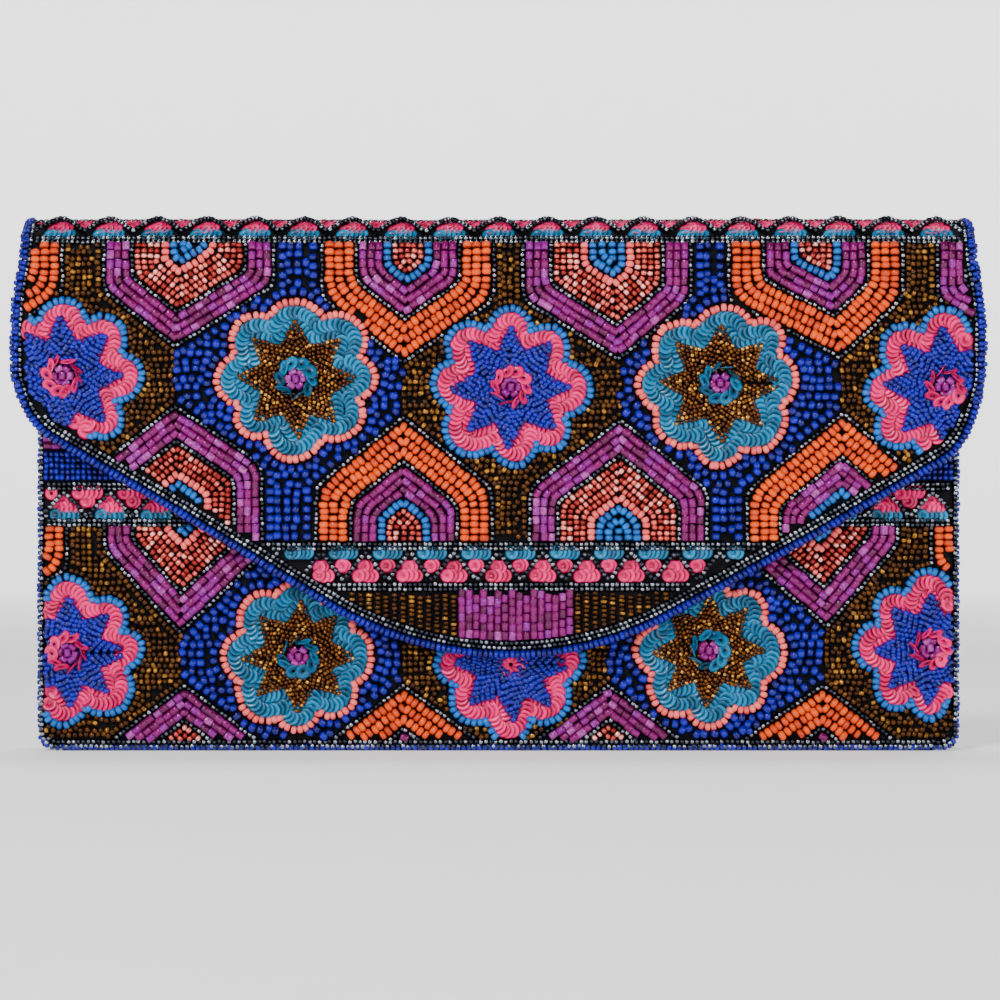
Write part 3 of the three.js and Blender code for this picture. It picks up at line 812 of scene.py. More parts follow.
FRONT_STANDING = [
    ("purple", -125.0, -72.0, 0.5, 0.5, (-98.6, 20.6)),
    ("orange", -56.0, -3.0, 0.5, 0.5, (-29.8, 20.6)),
    ("purple", 8.0, 61.0, 0.5, 0.5, (34.8, 20.6)),
    ("orange", 73.0, 128.0, 0.5, 0.5, (102.0, 20.6)),
]


def edge_front(work):
    heights = np.linspace(FRONT_BEADS_TOP, BODY_CORNER, 20)
    rising = np.linspace(BODY_CORNER, FRONT_BEADS_TOP, 20)[1:]
    path = [(-BODY_HALF, s) for s in heights] + FRONT_CORNERS[1:] + [(BODY_HALF, s) for s in rising]
    work.string("cobalt_small", offset_path(path, 0.85), margin=-2, lift=-1.2)
    work.string("steel", offset_path(path, 1.5), margin=0, wobble=0.08)
    work.string("cobalt_small", offset_path(path, 1.1), margin=-2, high=4, lift=-0.3)
    work.string("steel", offset_path(path, 2.9), margin=0, high=4.5, wobble=0.08)


def bead_front(work):
    work.flowers = [Flower(*place, FRONT_FLOWER_SIZE) for place in FRONT_FLOWERS]
    work.shapes.append(Region([(SNAP_CLEAR * cos(a), SNAP_S + SNAP_CLEAR * sin(a))
                               for a in np.linspace(0, 2 * pi, 25)[:-1]]))
    edge_front(work)
    for flower in work.flowers:
        sew_flower(work, flower, flap_lower_edge(flower.x) < flower.s + 7 and abs(flower.x) < TIP_HALF)
    for base, shapes in ((FRONT_BAND[0] - 1.0, FRONT_HANGING), (-12.0, FRONT_STANDING)):
        for shape in shapes:
            pentagon(work, base, *shape)
    zigzag_band(work, *FRONT_BAND, 143.5, "patches", 14.4)
    strings = BODY_HALF - 2.0
    level(work, "steel", strings, FRONT_BAND[0] + 2.3, slack=1.2)
    for kind, start, apart, number in (("cobalt_small", 1.2, 1.85, 5), ("purple", 11.2, 2.35, 3)):
        for i in range(number):
            level(work, kind, strings, FRONT_BAND[1] + start + apart * i, wobble=0.08)
    fill_cells(work, FRONT_CELLS, 3.0, FRONT_BAND[0] - 1.0)
    for kind, rows in work.rows.items():
        work.rows[kind] = [row for row in rows if hypot(row[0], row[1] - SNAP_S) >= SNAP_CLEAR + 1.0]


# ---- Materials ----


def set_inputs(tree, made, inputs):
    """Each input gets a value, or a link where an output socket is given."""
    for key, value in inputs.items():
        if isinstance(value, bpy.types.NodeSocket):
            tree.links.new(value, made.inputs[key])
        else:
            made.inputs[key].default_value = value


def add_node(tree, kind, inputs, **settings):
    made = tree.nodes.new("ShaderNode" + kind)
    for key, value in settings.items():
        setattr(made, key, value)
    set_inputs(tree, made, inputs)
    return made.outputs


def new_material(name):
    material = bpy.data.materials.new(name)
    material.use_nodes = True
    return material, material.node_tree


def finish_material(material, shader_inputs):
    tree = material.node_tree
    set_inputs(tree, tree.nodes["Principled BSDF"], shader_inputs)
    return material


def place_of(tree):
    return add_node(tree, "TexCoord", {})["Object"]


def noise(tree, scale, detail=3.0):
    return add_node(tree, "TexNoise", {"Scale": scale, "Detail": detail, "Vector": place_of(tree)})["Fac"]


def maths(tree, operation, *values, clamp=False):
    return add_node(tree, "Math", dict(enumerate(values)), operation=operation, use_clamp=clamp)["Value"]


def ramp(tree, stops, share):
    made = add_node(tree, "ValToRGB", {"Fac": share})
    elements = tree.nodes[-1].color_ramp.elements
    while len(elements) < len(stops):
        elements.new(0.5)
    for element, (at, colour) in zip(elements, stops):
        element.position = at
        element.color = (*colour, 1.0)
    return made["Color"]


def bump(tree, height, strength):
    return add_node(tree, "Bump", {"Strength": strength, "Distance": 0.0002, "Height": height})["Normal"]


def bead_material(name, stops, roughness, metallic=0.0, painted_glint_streak=0.24):
    """Glass beads: each has its own tone, darkened by painted shade at its ends, with painted glint streaks
    standing in for reflections inside the beads, and a slightly uneven skin.
    """
    material, tree = new_material(name)
    # The tone attribute holds each bead's random tone with painted shade added.
    tone = add_node(tree, "Attribute", {}, attribute_name="tone")["Fac"]
    glint_and_skin_noise = noise(tree, 1100.0)
    # Painted glints: the noise moves each spot along the ramp, lighter and darker, in place of reflections
    # inside the beads.
    painted_glint_spread = maths(tree, "MULTIPLY_ADD", glint_and_skin_noise, painted_glint_streak, -painted_glint_streak / 2)
    return finish_material(material, {
        "Base Color": ramp(tree, stops, maths(tree, "ADD", tone, painted_glint_spread, clamp=True)),
        "Roughness": maths(tree, "MULTIPLY_ADD", glint_and_skin_noise, 0.08, roughness - 0.04),
        "Metallic": metallic,
        "Specular IOR Level": 0.38,
        "Normal": bump(tree, glint_and_skin_noise, 0.05)})


def cloth_material(name, colour, lighter, thread, shine):
    """Woven cloth: two crossing sets of threads with slubs, and a soft sheen."""
    material, tree = new_material(name)
    wave = {"Scale": thread, "Distortion": 0.6, "Detail": 1.0, "Vector": place_of(tree)}
    threads = [add_node(tree, "TexWave", wave, bands_direction=axis)["Fac"] for axis in ("X", "Z")]
    weave = maths(tree, "MAXIMUM", *threads)
    shade = maths(tree, "MULTIPLY", weave, noise(tree, 140.0, 5.0))
    return finish_material(material, {
        "Base Color": ramp(tree, [(0.1, colour), (0.75, lighter)], shade),
        "Roughness": 0.7,
        "Specular IOR Level": shine,
        "Normal": bump(tree, weave, 0.35)})


def paper_material():
    """Pale paper that glows, and more so the further it is from the middle."""
    material, tree = new_material("paper_sweep")
    away = add_node(tree, "VectorMath", {0: place_of(tree)}, operation="LENGTH")["Value"]
    reach = {"From Min": 0.8, "From Max": 2.6, "To Min": 0.35, "To Max": 1.4}
    return finish_material(material, {
        "Base Color": ramp(tree, [(0.3, (0.86, 0.86, 0.86)), (0.7, (0.9, 0.9, 0.9))], noise(tree, 60.0, 8.0)),
        "Roughness": 0.8,
        "Emission Color": (1, 1, 1, 1),
        "Emission Strength": add_node(tree, "MapRange", {"Value": away, **reach})["Result"]})


def plain_material(name, darker, colour, scale, roughness, metallic, rough_skin):
    """Metal or board: one colour, a little uneven."""
    material, tree = new_material(name)
    wear = noise(tree, scale, 6.0)
    return finish_material(material, {
        "Base Color": ramp(tree, [(0.3, darker), (0.7, colour)], wear),
        "Roughness": roughness,
        "Metallic": metallic,
        "Normal": bump(tree, wear, rough_skin)})


# slot: colours by tone, roughness, metallic, painted glint streaks. Colours low on the tone scale show only
# where painted shade or the streaks darken a bead.
BEAD_LOOKS = {
    "steel_beads": ([
        (0.0, (0.009, 0.01, 0.014)), (0.5, (0.036, 0.041, 0.056)), (1.0, (0.31, 0.34, 0.39))], 0.12, 1.0),
    "cobalt_beads": ([
        (0.0, (0.0, 0.0, 0.035)), (0.4, (0.0003, 0.0, 0.15)), (1.0, (0.001, 0.0, 0.36))], 0.1),
    "orange_beads": ([
        (0.0, (0.22, 0.01, 0.0)), (0.4, (0.62, 0.045, 0.0)), (1.0, (0.85, 0.085, 0.0))], 0.14),
    "salmon_beads": ([
        (0.0, (0.35, 0.03, 0.03)), (0.4, (0.8, 0.09, 0.085)), (1.0, (0.95, 0.16, 0.15))], 0.18),
    "sky_beads": ([
        (0.0, (0.0, 0.03, 0.14)), (0.4, (0.0, 0.085, 0.36)), (1.0, (0.0, 0.14, 0.52))], 0.14),
    "purple_bugles": ([
        (0.0, (0.03, 0.0, 0.015)), (0.35, (0.14, 0.0, 0.075)), (0.6, (0.2, 0.0, 0.12)),
        (0.8, (0.19, 0.001, 0.2)), (1.0, (0.5, 0.1, 0.36))], 0.13, 0.1, 0.35),
    "copper_beads": ([
        (0.0, (0.07, 0.002, 0.002)), (0.4, (0.32, 0.022, 0.018)), (0.8, (0.75, 0.13, 0.1)),
        (1.0, (1.0, 0.5, 0.45))], 0.16, 0.65, 0.5),
    "amber_beads": ([
        (0.0, (0.008, 0.002, 0.0001)), (0.5, (0.045, 0.014, 0.001)), (0.88, (0.11, 0.038, 0.003)),
        (1.0, (0.45, 0.2, 0.025))], 0.12, 0.6, 0.4),
    "gold_bugles": ([
        (0.0, (0.025, 0.005, 0.0003)), (0.5, (0.075, 0.02, 0.0014)), (0.85, (0.19, 0.058, 0.004)),
        (1.0, (0.7, 0.36, 0.06))], 0.16, 0.6, 0.5),
    "pink_sequins": ([
        (0.0, (0.14, 0.0, 0.02)), (0.3, (0.55, 0.0, 0.08)), (0.7, (0.78, 0.0, 0.13)),
        (1.0, (0.95, 0.004, 0.19))], 0.3),
    "turquoise_sequins": ([
        (0.0, (0.0, 0.015, 0.035)), (0.3, (0.0, 0.075, 0.16)), (0.7, (0.0, 0.13, 0.28)),
        (1.0, (0.002, 0.2, 0.41))], 0.28),
}
MATERIALS = {name: bead_material(name, *look) for name, look in BEAD_LOOKS.items()}
MATERIALS.update({
    "satin": cloth_material("ground_satin", (0.002, 0.002, 0.003), (0.01, 0.01, 0.013), 420.0, 0.06),
    "lining": cloth_material("lining_twill", (0.006, 0.006, 0.008), (0.026, 0.026, 0.032), 330.0, 0.12),
    "board": plain_material("stiffener_board", (0.2, 0.17, 0.13), (0.42, 0.37, 0.3), 420.0, 0.9, 0.0, 0.3),
    "snap_metal": plain_material(
        "nickel_plate", (0.6, 0.592, 0.576), (0.75, 0.74, 0.72), 260.0, 0.2, 1.0, 0.06),
    "paper": paper_material(),
    "magnet": plain_material("magnet_grey", (0.08, 0.08, 0.088), (0.1, 0.1, 0.11), 260.0, 0.45, 1.0, 0.06),
})


def finish_cad_nodes():
    """CAD pieces that stay in view keep their shape and get their real material."""
    slots = {row["node"]: row["material_slot"] for row in frame["record"]["subparts"]}
    for name, node in frame["nodes"].items():
        node.data.materials.clear()
        node.data.materials.append(MATERIALS[slots[name]])


# ---- Meshes ----


def mesh_object(name, verts, loops, totals, slot, uvs=None, tone=None):
    """A smooth mesh from vertices in millimetres, all its face corners, and each face's number of them."""
    mesh = bpy.data.meshes.new(name)
    mesh.vertices.add(len(verts))
    mesh.vertices.foreach_set("co", (np.asarray(verts, float) * MM).astype(np.float32).ravel())
    mesh.loops.add(len(loops))
    mesh.loops.foreach_set("vertex_index", np.asarray(loops, np.int32))
    mesh.polygons.add(len(totals))
    mesh.polygons.foreach_set("loop_start", (np.cumsum(totals) - totals).astype(np.int32))
    mesh.polygons.foreach_set("loop_total", np.asarray(totals, np.int32))
    mesh.polygons.foreach_set("use_smooth", np.full(len(totals), True))
    if uvs is not None:
        mesh.uv_layers.new(name="OFBake").data.foreach_set("uv", np.asarray(uvs, np.float32).ravel())
        # The tone attribute carries each bead's random tone with painted shade added.
        mesh.attributes.new("tone", "FLOAT", "POINT").data.foreach_set("value", np.asarray(tone, np.float32))
    mesh.update(calc_edges=True)
    mesh.validate()
    mesh.materials.append(MATERIALS[slot])
    return add_object(name, mesh)


def bead_piece(name, kind, rows, work):
    """All the beads of one kind in one part of the purse, as one mesh."""
    data = np.array(rows, float)
    x, s, lift, half_length, radius, tone = data[:, (0, 1, 2, 9, 10, 11)].T
    point, normal, along = work.frame_of(x, s, lift + work.uneven * quilt(x, s))
    across = np.zeros_like(normal)
    across[:, 0] = 1.0
    axis_x, axis_z = [data[:, k:k + 1] * across + data[:, k + 1:k + 2] * along + data[:, k + 2:k + 3] * normal
                      for k in (3, 6)]
    template = TEMPLATES[KINDS[kind][0]]
    verts = point[:, None, :]
    axes = (half_length, axis_x), (radius, np.cross(axis_z, axis_x)), (radius, axis_z)
    for k, (size, axis) in enumerate(axes):
        verts = verts + template.verts[None, :, k:k + 1] * (size[:, None] * axis)[:, None, :]
    count, per = verts.shape[:2]
    number = np.arange(count)
    loops = template.loops + number[:, None] * per
    grid = ceil(sqrt(count))
    cell = np.stack([number % grid, number // grid], -1)
    uvs = (cell[:, None, :] + 0.1 + 0.8 * template.uvs) / grid
    # Each bead's random tone, plus the template's painted shade at every vertex.
    tone_with_painted_shade = 0.25 + 0.75 * np.repeat(tone, per) + np.tile(template.shade, count)
    slot = KINDS[kind][4]
    sizes = np.tile(template.sizes, count)
    piece = mesh_object(name, verts.reshape(-1, 3), loops.ravel(), sizes, slot, uvs, tone_with_painted_shade)
    return piece


def ring_mesh(name, rings, slot, flip=False, wrap=False, caps=False):
    """A surface through rings of points. caps closes both ends."""
    rings = np.asarray(rings, float)
    count, segments = rings.shape[:2]
    faces = ring_faces(count, segments, flip, wrap)
    if caps:
        ends = np.arange(segments), np.arange(segments) + (count - 1) * segments
        faces += [ends[0], ends[1][::-1]] if flip else [ends[0][::-1], ends[1]]
    return mesh_object(name, rings.reshape(-1, 3), np.concatenate(faces), [len(face) for face in faces], slot)


def grid_sheet(name, rows, columns, at, heights, slot):
    """A thin closed sheet: an outer and an inner face over a grid, joined round the edge.

    at gives the places for (u, v) from 0 to 1 and one of the two heights."""
    u, v = np.meshgrid(np.linspace(0, 1, columns), np.linspace(0, 1, rows))
    verts = np.concatenate([at(u.ravel(), v.ravel(), height) for height in heights])
    half = rows * columns
    faces = []
    for i in range(rows - 1):
        for a in range(i * columns, (i + 1) * columns - 1):
            b, c, d = a + 1, a + columns + 1, a + columns
            faces += [(a, b, c, d), (half + a, half + d, half + c, half + b)]
    rim = list(range(columns)) + [i * columns + columns - 1 for i in range(1, rows)]
    rim += [(rows - 1) * columns + j for j in range(columns - 2, -1, -1)]
    rim += [i * columns for i in range(rows - 2, 0, -1)]
    faces += [(b, a, half + a, half + b) for a, b in zip(rim, rim[1:] + rim[:1])]
    return mesh_object(name, verts, np.concatenate(faces), np.full(len(faces), 4), slot)


# ---- Bodies and stand-ins ----

SIDES = (("left", -1), ("right", 1))
FOLD_TOP = (0, 0, TOP_Z * MM)
GUSSET_LOW_Y, GUSSET_HIGH_Y = -FRONT_CLOTH_Y + 0.6, CLOTH_R - 0.6

# part: its body, or the two bodies it bends between with the places where each holds it whole
HOLD = {
    "flap": ("flap",),
    "back": ("purse",),
    "front": ("front",),
    "fold_front": ("spine", "flap", FOLD_TOP, (0, -FOLD_RADIUS * MM, FOLD_Z * MM)),
    "fold_back": ("spine", "purse", FOLD_TOP, (0, FOLD_RADIUS * MM, FOLD_Z * MM)),
    "gusset": ("purse", "front", (0, GUSSET_HIGH_Y * MM, 0), (0, GUSSET_LOW_Y * MM, 0)),
}

# part of the strip: where it starts and ends, and the board it lies on
STRIP_PARTS = {
    "flap": (0, FOLD_Z, "flap_board"),
    "fold_front": (FOLD_Z, FOLD_TOP_S, "flap_board"),
    "fold_back": (FOLD_TOP_S, BACK_S, "back_board"),
    "back": (BACK_S, STRIP_END_S, "back_board"),
}

BEAD_STAND_INS = {
    "flap_orange": ["flap_beadwork_upper"],
    "flap_amber_fine": ["flap_beadwork_tip"],
    "flap_steel": ["flap_zigzag_band"],
    "flap_cobalt_rim": ["flap_edge_beading"],
    "fold_front_steel": ["flap_fold_beads", "spine_beads"],
    "fold_back_amber": ["back_fold_beads"],
    "back_purple": ["back_beadwork"],
    "back_steel": ["back_edge_beading"],
    "front_purple": ["front_beadwork_lower"],
    "front_cobalt_small": ["front_beadwork_top"],
    "front_pink_sequin": ["front_zigzag_band"],
    "front_steel": ["front_edge_beading"],
}


def attach(piece, part):
    """Parents a piece to its part's body; a piece that bends between two bodies only has its transform
    applied.
    """
    body, *bend = HOLD[part]
    if bend:
        bend[0]
        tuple(bend[1])
        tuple(bend[2])
        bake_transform(piece)
    else:
        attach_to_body(piece, body)


def finish_piece(piece, part, slot, *nodes):
    """Puts a piece on its part of the purse and hides the CAD nodes it stands for."""
    attach(piece, part)
    if nodes:
        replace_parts(piece, *nodes)


def part_of(s):
    return next((part for part, (_, high, _) in STRIP_PARTS.items() if s < high), "back")


def make_bead_pieces(work, split):
    made = {}
    for kind, rows in sorted(work.rows.items()):
        parts = defaultdict(list)
        for row in rows:
            parts[split(row[1])].append(row)
        for part, members in sorted(parts.items()):
            name = f"{part}_{kind}"
            made[name] = bead_piece(name, kind, members, work)
            attach(made[name], part)
    return made


def build_beadwork():
    strip = Beadwork(strip_frame, strip_outline(), strip_margin)
    bead_flap(strip)
    bead_back(strip)
    pieces = make_bead_pieces(strip, part_of)
    outline = [(BODY_HALF, FRONT_BEADS_TOP), (-BODY_HALF, FRONT_BEADS_TOP)] + FRONT_CORNERS
    front = Beadwork(front_frame, outline, lambda s: 2.0 if s > 6 else 3.0)
    bead_front(front)
    pieces.update(make_bead_pieces(front, lambda s: "front"))
    for name, nodes in BEAD_STAND_INS.items():
        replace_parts(pieces[name], *nodes)
    for i in range(1, 6):
        ring = "pink_sequin" if i % 2 == 1 else "teal_sequin"
        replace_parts(pieces[f"flap_{ring}"], f"flap_flower_{i}")
        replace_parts(pieces[f"front_{ring}"], f"front_flower_{i}")
        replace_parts(pieces[f"back_{ring}"], f"back_flower_upper_{i}", f"back_flower_lower_{i}")


# ---- Cloth ----


def declare_sheet(width, length, area=None):
    """Takes the size in millimetres that a cloth piece was cut to, converts a given area to square metres and
    does nothing more; width and length are not used.
    """
    area = None if area is None else area * MM * MM


def flap_corner(sign):
    """One of the flap's round lower corners, as distances from the middle and heights."""
    side = np.abs(FLAP_SIDES[sign])
    corner = side[(side[:, 1] <= CORNER_END_Z + 0.01) & (side[:, 0] >= CORNER_START_X - 0.01)]
    return corner[np.argsort(corner[:, 0])].T


CORNERS = {sign: flap_corner(sign) for sign in (-1, 1)}


def flap_low(x):
    """Height of the flap's edge below a given x, with its round corners."""
    if abs(x) <= CORNER_START_X:
        return flap_lower_edge(x)
    return np.interp(abs(x), *CORNERS[1 if x > 0 else -1])


def flap_high(x, inset):
    if abs(x) <= FLAP_TOP_HALF - inset:
        return FOLD_Z
    bow = sqrt(max(0.0, (FLAP_HALF - inset - abs(x)) / (FLAP_HALF - FLAP_TOP_HALF)))
    return BOW_START_Z + (FOLD_Z - BOW_START_Z) * min(1.0, bow)


def flap_places(u, v, inset):
    """Grid places over the flap's outline, column by column."""
    x = (2 * u - 1) * (FLAP_HALF - inset - 0.05)
    high = np.array([flap_high(c, inset) for c in x])
    low = np.array([flap_low(c) for c in x]) + inset / cos(radians(30))
    low = np.minimum(low, high - 0.5)
    return x, low + (high - low) * v


def pucker(x, s, size, seed):
    """Small soft wrinkles of pulled cloth."""
    a = np.sin(x / 5.1 + 2.3 * np.sin(s / 17 + seed)) * np.sin(s / 7.3 + seed * 1.7)
    return size * (0.5 * a + 0.5 * np.sin(x / 23 + seed) * np.sin(s / 19 - seed))


def flap_area(inset):
    p = np.array(FLAP_EDGE)
    q = np.roll(p, -1, axis=0)
    whole = abs((p[:, 0] * q[:, 1] - q[:, 0] * p[:, 1]).sum()) / 2
    return whole - inset * np.linalg.norm(np.diff(p, axis=0), axis=1).sum()


def strip_sheet(slot, heights, wrinkle, quilting, seed, name, part, inset, *nodes):
    """A sheet of the outer strip, cut straight across except along the flap's edge."""
    low, high, board = STRIP_PARTS[part]
    if part == "back":
        high -= BACK_CLOTH_SHORT

    def at(u, v, height):
        if part == "flap":
            x, s = flap_places(u, v, inset)
        else:
            s = low + (high - low) * v
            x = (2 * u - 1) * (np.array([strip_half(c) for c in s]) - inset)
        h = height + pucker(x, s, wrinkle, seed) + quilting * (0.8 * quilt(x, s) - 0.1)
        return strip_frame(x, s, h)[0]

    piece = grid_sheet(name, 48, 150, at, heights, slot)
    finish_piece(piece, part, slot, *nodes)
    half, length, area = strip_half(high), high - low, None
    if part == "flap":
        half, length, area = FLAP_HALF, high - FLAP_TIP_Z - inset, flap_area(inset)
    elif part.startswith("fold"):
        length *= (CLOTH_R + sum(heights) / 2) / PATTERN_R
    declare_sheet(2 * (half - inset), length, area)


# How far short of the base the back's cloth and its turned edge end
BACK_CLOTH_SHORT, BACK_EDGE_SHORT = 1.5, 3.0

# name, part, distance inside the edge, CAD nodes
STRIP_CLOTH = [
    ("flap_ground_cloth", "flap", 0.9, "flap_cloth"),
    ("fold_front_cloth", "fold_front", 0.9, "flap_fold_cloth"),
    ("fold_back_cloth", "fold_back", 0.9, "spine_cloth", "back_fold_cloth"),
    ("back_ground_cloth", "back", 1.6, "back_cloth"),
]
STRIP_LINING = [
    ("flap_inside_lining", "flap", 1.6, "flap_lining"),
    ("fold_front_lining", "fold_front", 3.0, "flap_fold_lining"),
    ("fold_back_lining", "fold_back", 3.5, "spine_lining", "back_fold_lining"),
    ("back_inside_lining", "back", 3.7, "back_lining"),
]
# Turned edges: distance inside the outline, how far they stand over the cloth, half their width
FLAP_EDGE_INSET, EDGE_INSET, FRONT_EDGE_INSET = 1.0, 1.2, 1.9
EDGE_OVER = 0.05
EDGE_HALF, FRONT_EDGE_HALF = 0.8, 0.7
TUBE_SIDES = 10


def edge_tube(name, part, path, frame_of, depth, over, half_width):
    """The cloth's turned edge: a soft flattened roll along a path, as deep as the cloth and lining."""
    p = np.array(path, float)
    step = np.gradient(p, axis=0)
    step /= np.linalg.norm(step, axis=1)[:, None]
    side = np.stack([-step[:, 1], step[:, 0]], -1)
    rings = []
    for a in circle(TUBE_SIDES):
        q = p + side * half_width * cos(a)
        h = np.full(len(p), depth / 2 + (over - depth / 2) * sin(a))
        rings.append(frame_of(q[:, 0], q[:, 1], h)[0])
    finish_piece(ring_mesh(name, np.stack(rings, 1), "satin", caps=True), part, "satin")


def build_strip_cloth():
    for seed, sheet in enumerate(STRIP_CLOTH):
        strip_sheet("satin", (0.0, -0.5), 0.1, 1, seed, *sheet)
    for seed, sheet in enumerate(STRIP_LINING):
        strip_sheet("lining", (LINING_OUT_H, LINING_IN_H), 0.14, 0, seed + 7, *sheet)
    path = offset_path(FLAP_EDGE, FLAP_EDGE_INSET)
    edge_tube("flap_turned_edge", "flap", path, strip_frame, LINING_IN_H, EDGE_OVER, EDGE_HALF)
    for side, sign in SIDES:
        for part in ("fold_front", "fold_back", "back"):
            low, high, _ = STRIP_PARTS[part]
            if part == "back":
                high -= BACK_EDGE_SHORT
            path = [(sign * (strip_half(s) - EDGE_INSET), s) for s in np.linspace(low, high, 24)]
            name = f"{part}_turned_edge_{side}"
            edge_tube(name, part, path, strip_frame, LINING_IN_H, EDGE_OVER, EDGE_HALF)


FRONT_CLOTH_INSET = 1.6
FRONT_CLOTH_LOW, FRONT_EDGE_LOW = 1.3, 2.2


def build_front_cloth():
    low, half, lining = FRONT_CLOTH_LOW, BODY_HALF - FRONT_CLOTH_INSET, FRONT_LINING_H
    for name, node, slot, heights, wrinkle, seed in (
            ("front_ground_cloth", "front_cloth", "satin", (0.15, -0.4), 0.16, 3),
            ("front_inside_lining", "front_lining", "lining", (lining + 0.5, lining), 0.12, 5)):

        def at(u, v, height):
            x, s = (2 * u - 1) * half, low + (FRONT_TOP_Z - low) * v
            return front_frame(x, s, height + pucker(x, s, wrinkle, seed))[0]

        piece = grid_sheet(name, 60, 150, at, heights, slot)
        finish_piece(piece, "front", slot, node)
        declare_sheet(2 * half, FRONT_TOP_Z - low)
    for side, sign in SIDES:
        x = sign * (BODY_HALF - FRONT_EDGE_INSET)
        path = [(x, s) for s in np.linspace(FRONT_EDGE_LOW, FRONT_TOP_Z, 40)]
        edge_tube(f"front_turned_edge_{side}", "front", path, front_frame, lining, 0.0, FRONT_EDGE_HALF)


BINDING_CLOTH = 0.5
BINDING_FULLNESS = 0.12
BINDING_CUT_SHORT = 0.25


def build_hem_binding():
    """Bias binding folded over the front panel's top edge, a little full between its stitches."""
    low, high = box_mm("front_hem_binding")
    middle, half = (low[1] + high[1]) / 2, (high[1] - low[1]) / 2
    steps = 14
    rings = []
    for x in np.linspace(-high[0], high[0], 160):
        full = BINDING_FULLNESS * sin(x / 2.1) * sin(x / 7.7)
        ring = []
        for r, foot, turns in ((half + full, BINDING_CUT_SHORT, range(steps + 1)),
                               (half - BINDING_CLOTH, 0, range(steps, -1, -1))):
            for j in turns:
                a = pi * j / steps
                y = middle - r * cos(a)
                if j in (0, steps):
                    ring.append((x, y, low[2] + foot))
                ring.append((x, y, high[2] - half + r * sin(a) * 0.9))
        rings.append(ring)
    piece = ring_mesh("front_bias_binding", rings, "satin", flip=True, caps=True)
    finish_piece(piece, "front", "satin", "front_hem_binding")


GUSSET_CUT = 18.6
GUSSET_CLOTH = 0.45
GUSSET_TUCK, GUSSET_TUCK_GROWS = 3.2, 3.0


def build_gussets():
    """Side cloths folded inwards between the back and the front."""
    for side, sign in SIDES:
        low, high = box_mm(f"{side}_gusset")
        outer_x = max(abs(low[0]), abs(high[0]))

        def at(u, v, shift):
            z = low[2] + (high[2] - low[2]) * v
            tuck = (GUSSET_TUCK + GUSSET_TUCK_GROWS * v) * np.sin(pi * u) ** 1.4
            x = sign * (outer_x - 0.2 - tuck - shift + 0.18 * np.sin(z / 6.0 + 2 * u))
            return np.stack([x, GUSSET_LOW_Y + (GUSSET_HIGH_Y - GUSSET_LOW_Y) * u, z], -1)

        piece = grid_sheet(f"{side}_side_gusset", 70, 18, at, (0.0, GUSSET_CLOTH)[::sign], "satin")
        finish_piece(piece, "gusset", "satin", f"{side}_gusset")
        declare_sheet(GUSSET_CUT, high[2] - low[2])


def build_base():
    """The bottom cloth and its lining, very slightly hollow between the panels."""
    for name, node, slot, sag in (("base_ground_cloth", "base_cloth", "satin", 0.12),
                                  ("base_inside_lining", "base_lining", "lining", 0.1)):
        low, high = box_mm(node)

        def at(u, v, face):
            z, hollow = face
            x = low[0] + (high[0] - low[0]) * u
            rise = hollow * np.sin(pi * v) * (1 + 0.3 * np.sin(x / 9))
            return np.stack([x, low[1] + (high[1] - low[1]) * v, z + rise], -1)

        piece = grid_sheet(name, 14, 120, at, ((high[2], sag), (low[2], 0)), slot)
        finish_piece(piece, "back", slot, node)
        declare_sheet(high[0] - low[0], high[1] - low[1])


POCKET_SLACK = 1.1
POCKET_CREASE = 0.1


def build_pocket():
    """The slip pocket inside the back: a patch that stands off a little at its mouth."""
    low, high = box_mm("slip_pocket")

    def at(u, v, y):
        x = low[0] + (high[0] - low[0]) * u
        z = low[2] + (high[2] - low[2]) * v
        slack = POCKET_SLACK * np.sin(pi * u) ** 2 * v**3
        slack += POCKET_CREASE * np.sin(x / 8) * np.sin(z / 9)
        return np.stack([x, y - slack, z], -1)

    piece = grid_sheet("inside_slip_pocket", 40, 70, at, (high[1], low[1]), "lining")
    finish_piece(piece, "back", "lining", "slip_pocket")
    declare_sheet(high[0] - low[0], high[2] - low[2])


# ---- Magnetic snap and stitches ----


SNAP_SIDES = 64
STITCH_INSET = 4.2
STITCH_LIFT = 0.02


def turned_snap(name, part, node, profile_of):
    """A snap half turned on an axis along Y, with its pressed edges rounded."""
    low, high = box_mm(node)
    x, z = (high[0] + low[0]) / 2, (high[2] + low[2]) / 2
    rings = [[(x + radius * cos(a), y, z + radius * sin(a)) for a in circle(SNAP_SIDES)]
             for radius, y in profile_of((high[0] - low[0]) / 2, low[1], high[1])]
    piece = ring_mesh(name, rings, "snap_metal", flip=True, wrap=True)
    finish_piece(piece, part, "snap_metal", node)


def stud_profile(radius, back, pin):
    disc = back + 0.8
    return [(0.01, back), (radius - 0.3, back), (radius, back + 0.2), (radius, disc - 0.3),
            (radius - 0.3, disc), (radius - 1.6, disc), (radius - 1.9, disc - 0.12), (3.1, disc - 0.12),
            (2.6, disc + 0.2), (2.6, pin - 0.4), (2.2, pin), (0.01, pin)]


def cap_profile(radius, face, seat):
    return [(3.2, face + 0.25), (3.5, face), (radius - 2.0, face), (radius - 1.7, face + 0.12),
            (radius - 0.5, face + 0.1), (radius, face + 0.6), (radius, seat), (radius - 0.4, seat),
            (radius - 0.4, face + 0.7), (radius - 0.9, face + 0.5), (3.2, face + 0.5)]


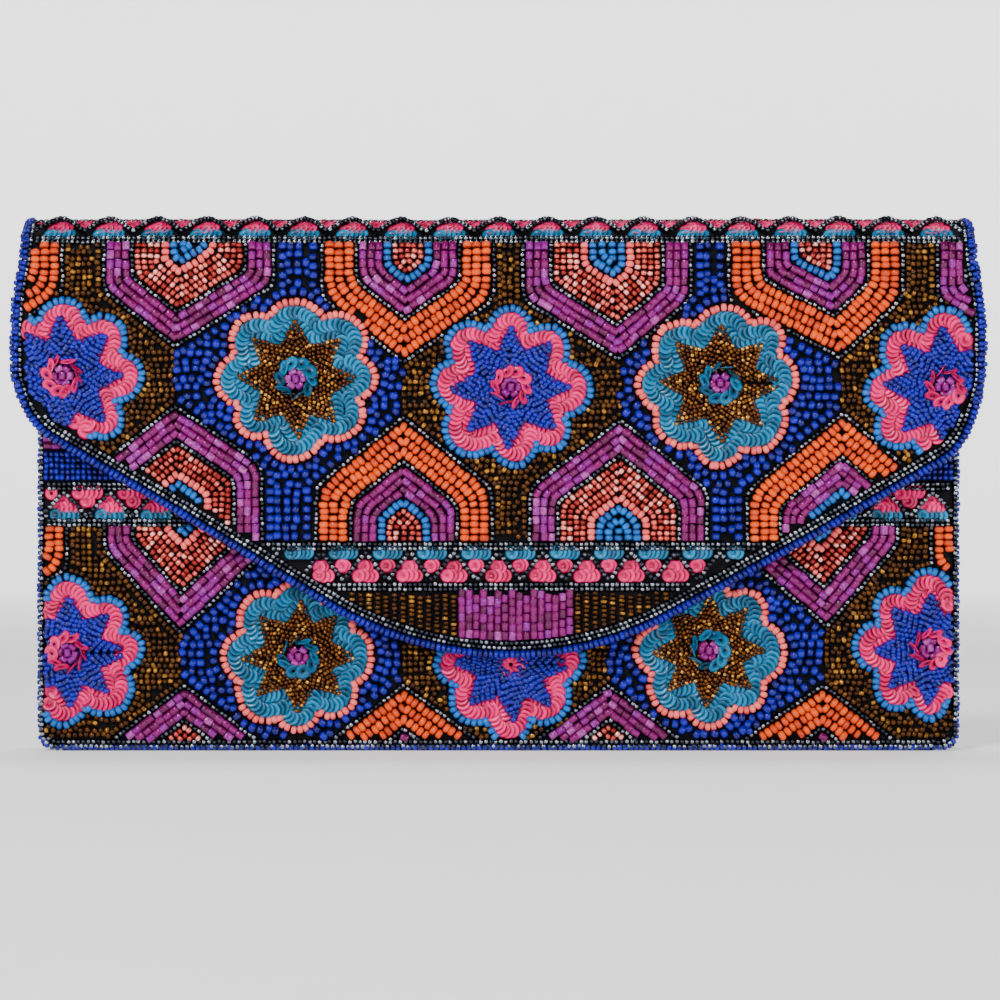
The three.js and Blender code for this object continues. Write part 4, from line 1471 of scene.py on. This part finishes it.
def build_stitches():
    """Topstitching along the edge of the flap's lining."""
    thread = Beadwork(lining_frame, FLAP_EDGE, strip_margin, uneven=0.0)
    for (x, s), angle in zip(*stations(offset_path(FLAP_EDGE, STITCH_INSET), KINDS["stitch"][3])):
        thread.place("stitch", x, s, (cos(angle), sin(angle), 0.0), OUT, STITCH_LIFT)
    piece = bead_piece("flap_lining_stitches", "stitch", thread.rows["stitch"], thread)
    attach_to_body(piece, "flap")


# ---- Stage and light ----

PAPER_RADIUS = 2200
PAPER_BEND = 500
PAPER_WALL = 400
PAPER_SIDES = 72
LIGHT_TARGET = (0, 0, 0.08)
WORLD_STRENGTH = 0.1


def build_stage():
    """A pale paper floor that curves up into a low wall all round, well outside the camera."""
    bend = [(PAPER_RADIUS + PAPER_BEND * sin(a), PAPER_BEND - PAPER_BEND * cos(a))
            for a in np.linspace(0, pi / 2, 12)[1:]]
    profile = [(1, 0), (PAPER_RADIUS, 0), *bend, (PAPER_RADIUS + PAPER_BEND, PAPER_BEND + PAPER_WALL)]
    rings = [[(radius * cos(a), radius * sin(a), z) for a in circle(PAPER_SIDES)] for radius, z in profile]
    floor = ring_mesh("paper_sweep", rings, "paper", flip=True)


def area_light(name, place, size, power):
    """A lamp that points at the middle of the purse."""
    data = bpy.data.lights.new(name, "AREA")
    data.shape = "RECTANGLE"
    data.size, data.size_y = size
    data.energy = power
    lamp = add_object(name, data)
    lamp.location = place
    direction = np.array(LIGHT_TARGET) - np.array(place)
    lamp.rotation_euler = Vector(direction).to_track_quat("-Z", "Y").to_euler()


def build_light():
    area_light("key", (-0.45, -1.25, 1.15), (0.3, 0.3), 24)
    area_light("fill", (1.2, -1.3, 0.7), (0.4, 0.4), 5)
    area_light("top", (0.1, 0.5, 1.6), (1.0, 0.5), 14)
    world = bpy.data.worlds.new("studio")
    world.use_nodes = True
    background = world.node_tree.nodes["Background"]
    background.inputs["Color"].default_value = (1, 1, 1, 1)
    background.inputs["Strength"].default_value = WORLD_STRENGTH
    bpy.context.scene.world = world


finish_cad_nodes()
build_beadwork()
build_strip_cloth()
build_front_cloth()
build_hem_binding()
build_gussets()
build_base()
build_pocket()
turned_snap("snap_stud_plate", "flap", "snap_stud", stud_profile)
turned_snap("snap_cap_shell", "front", "snap_cap", cap_profile)
build_stitches()
build_stage()
build_light()
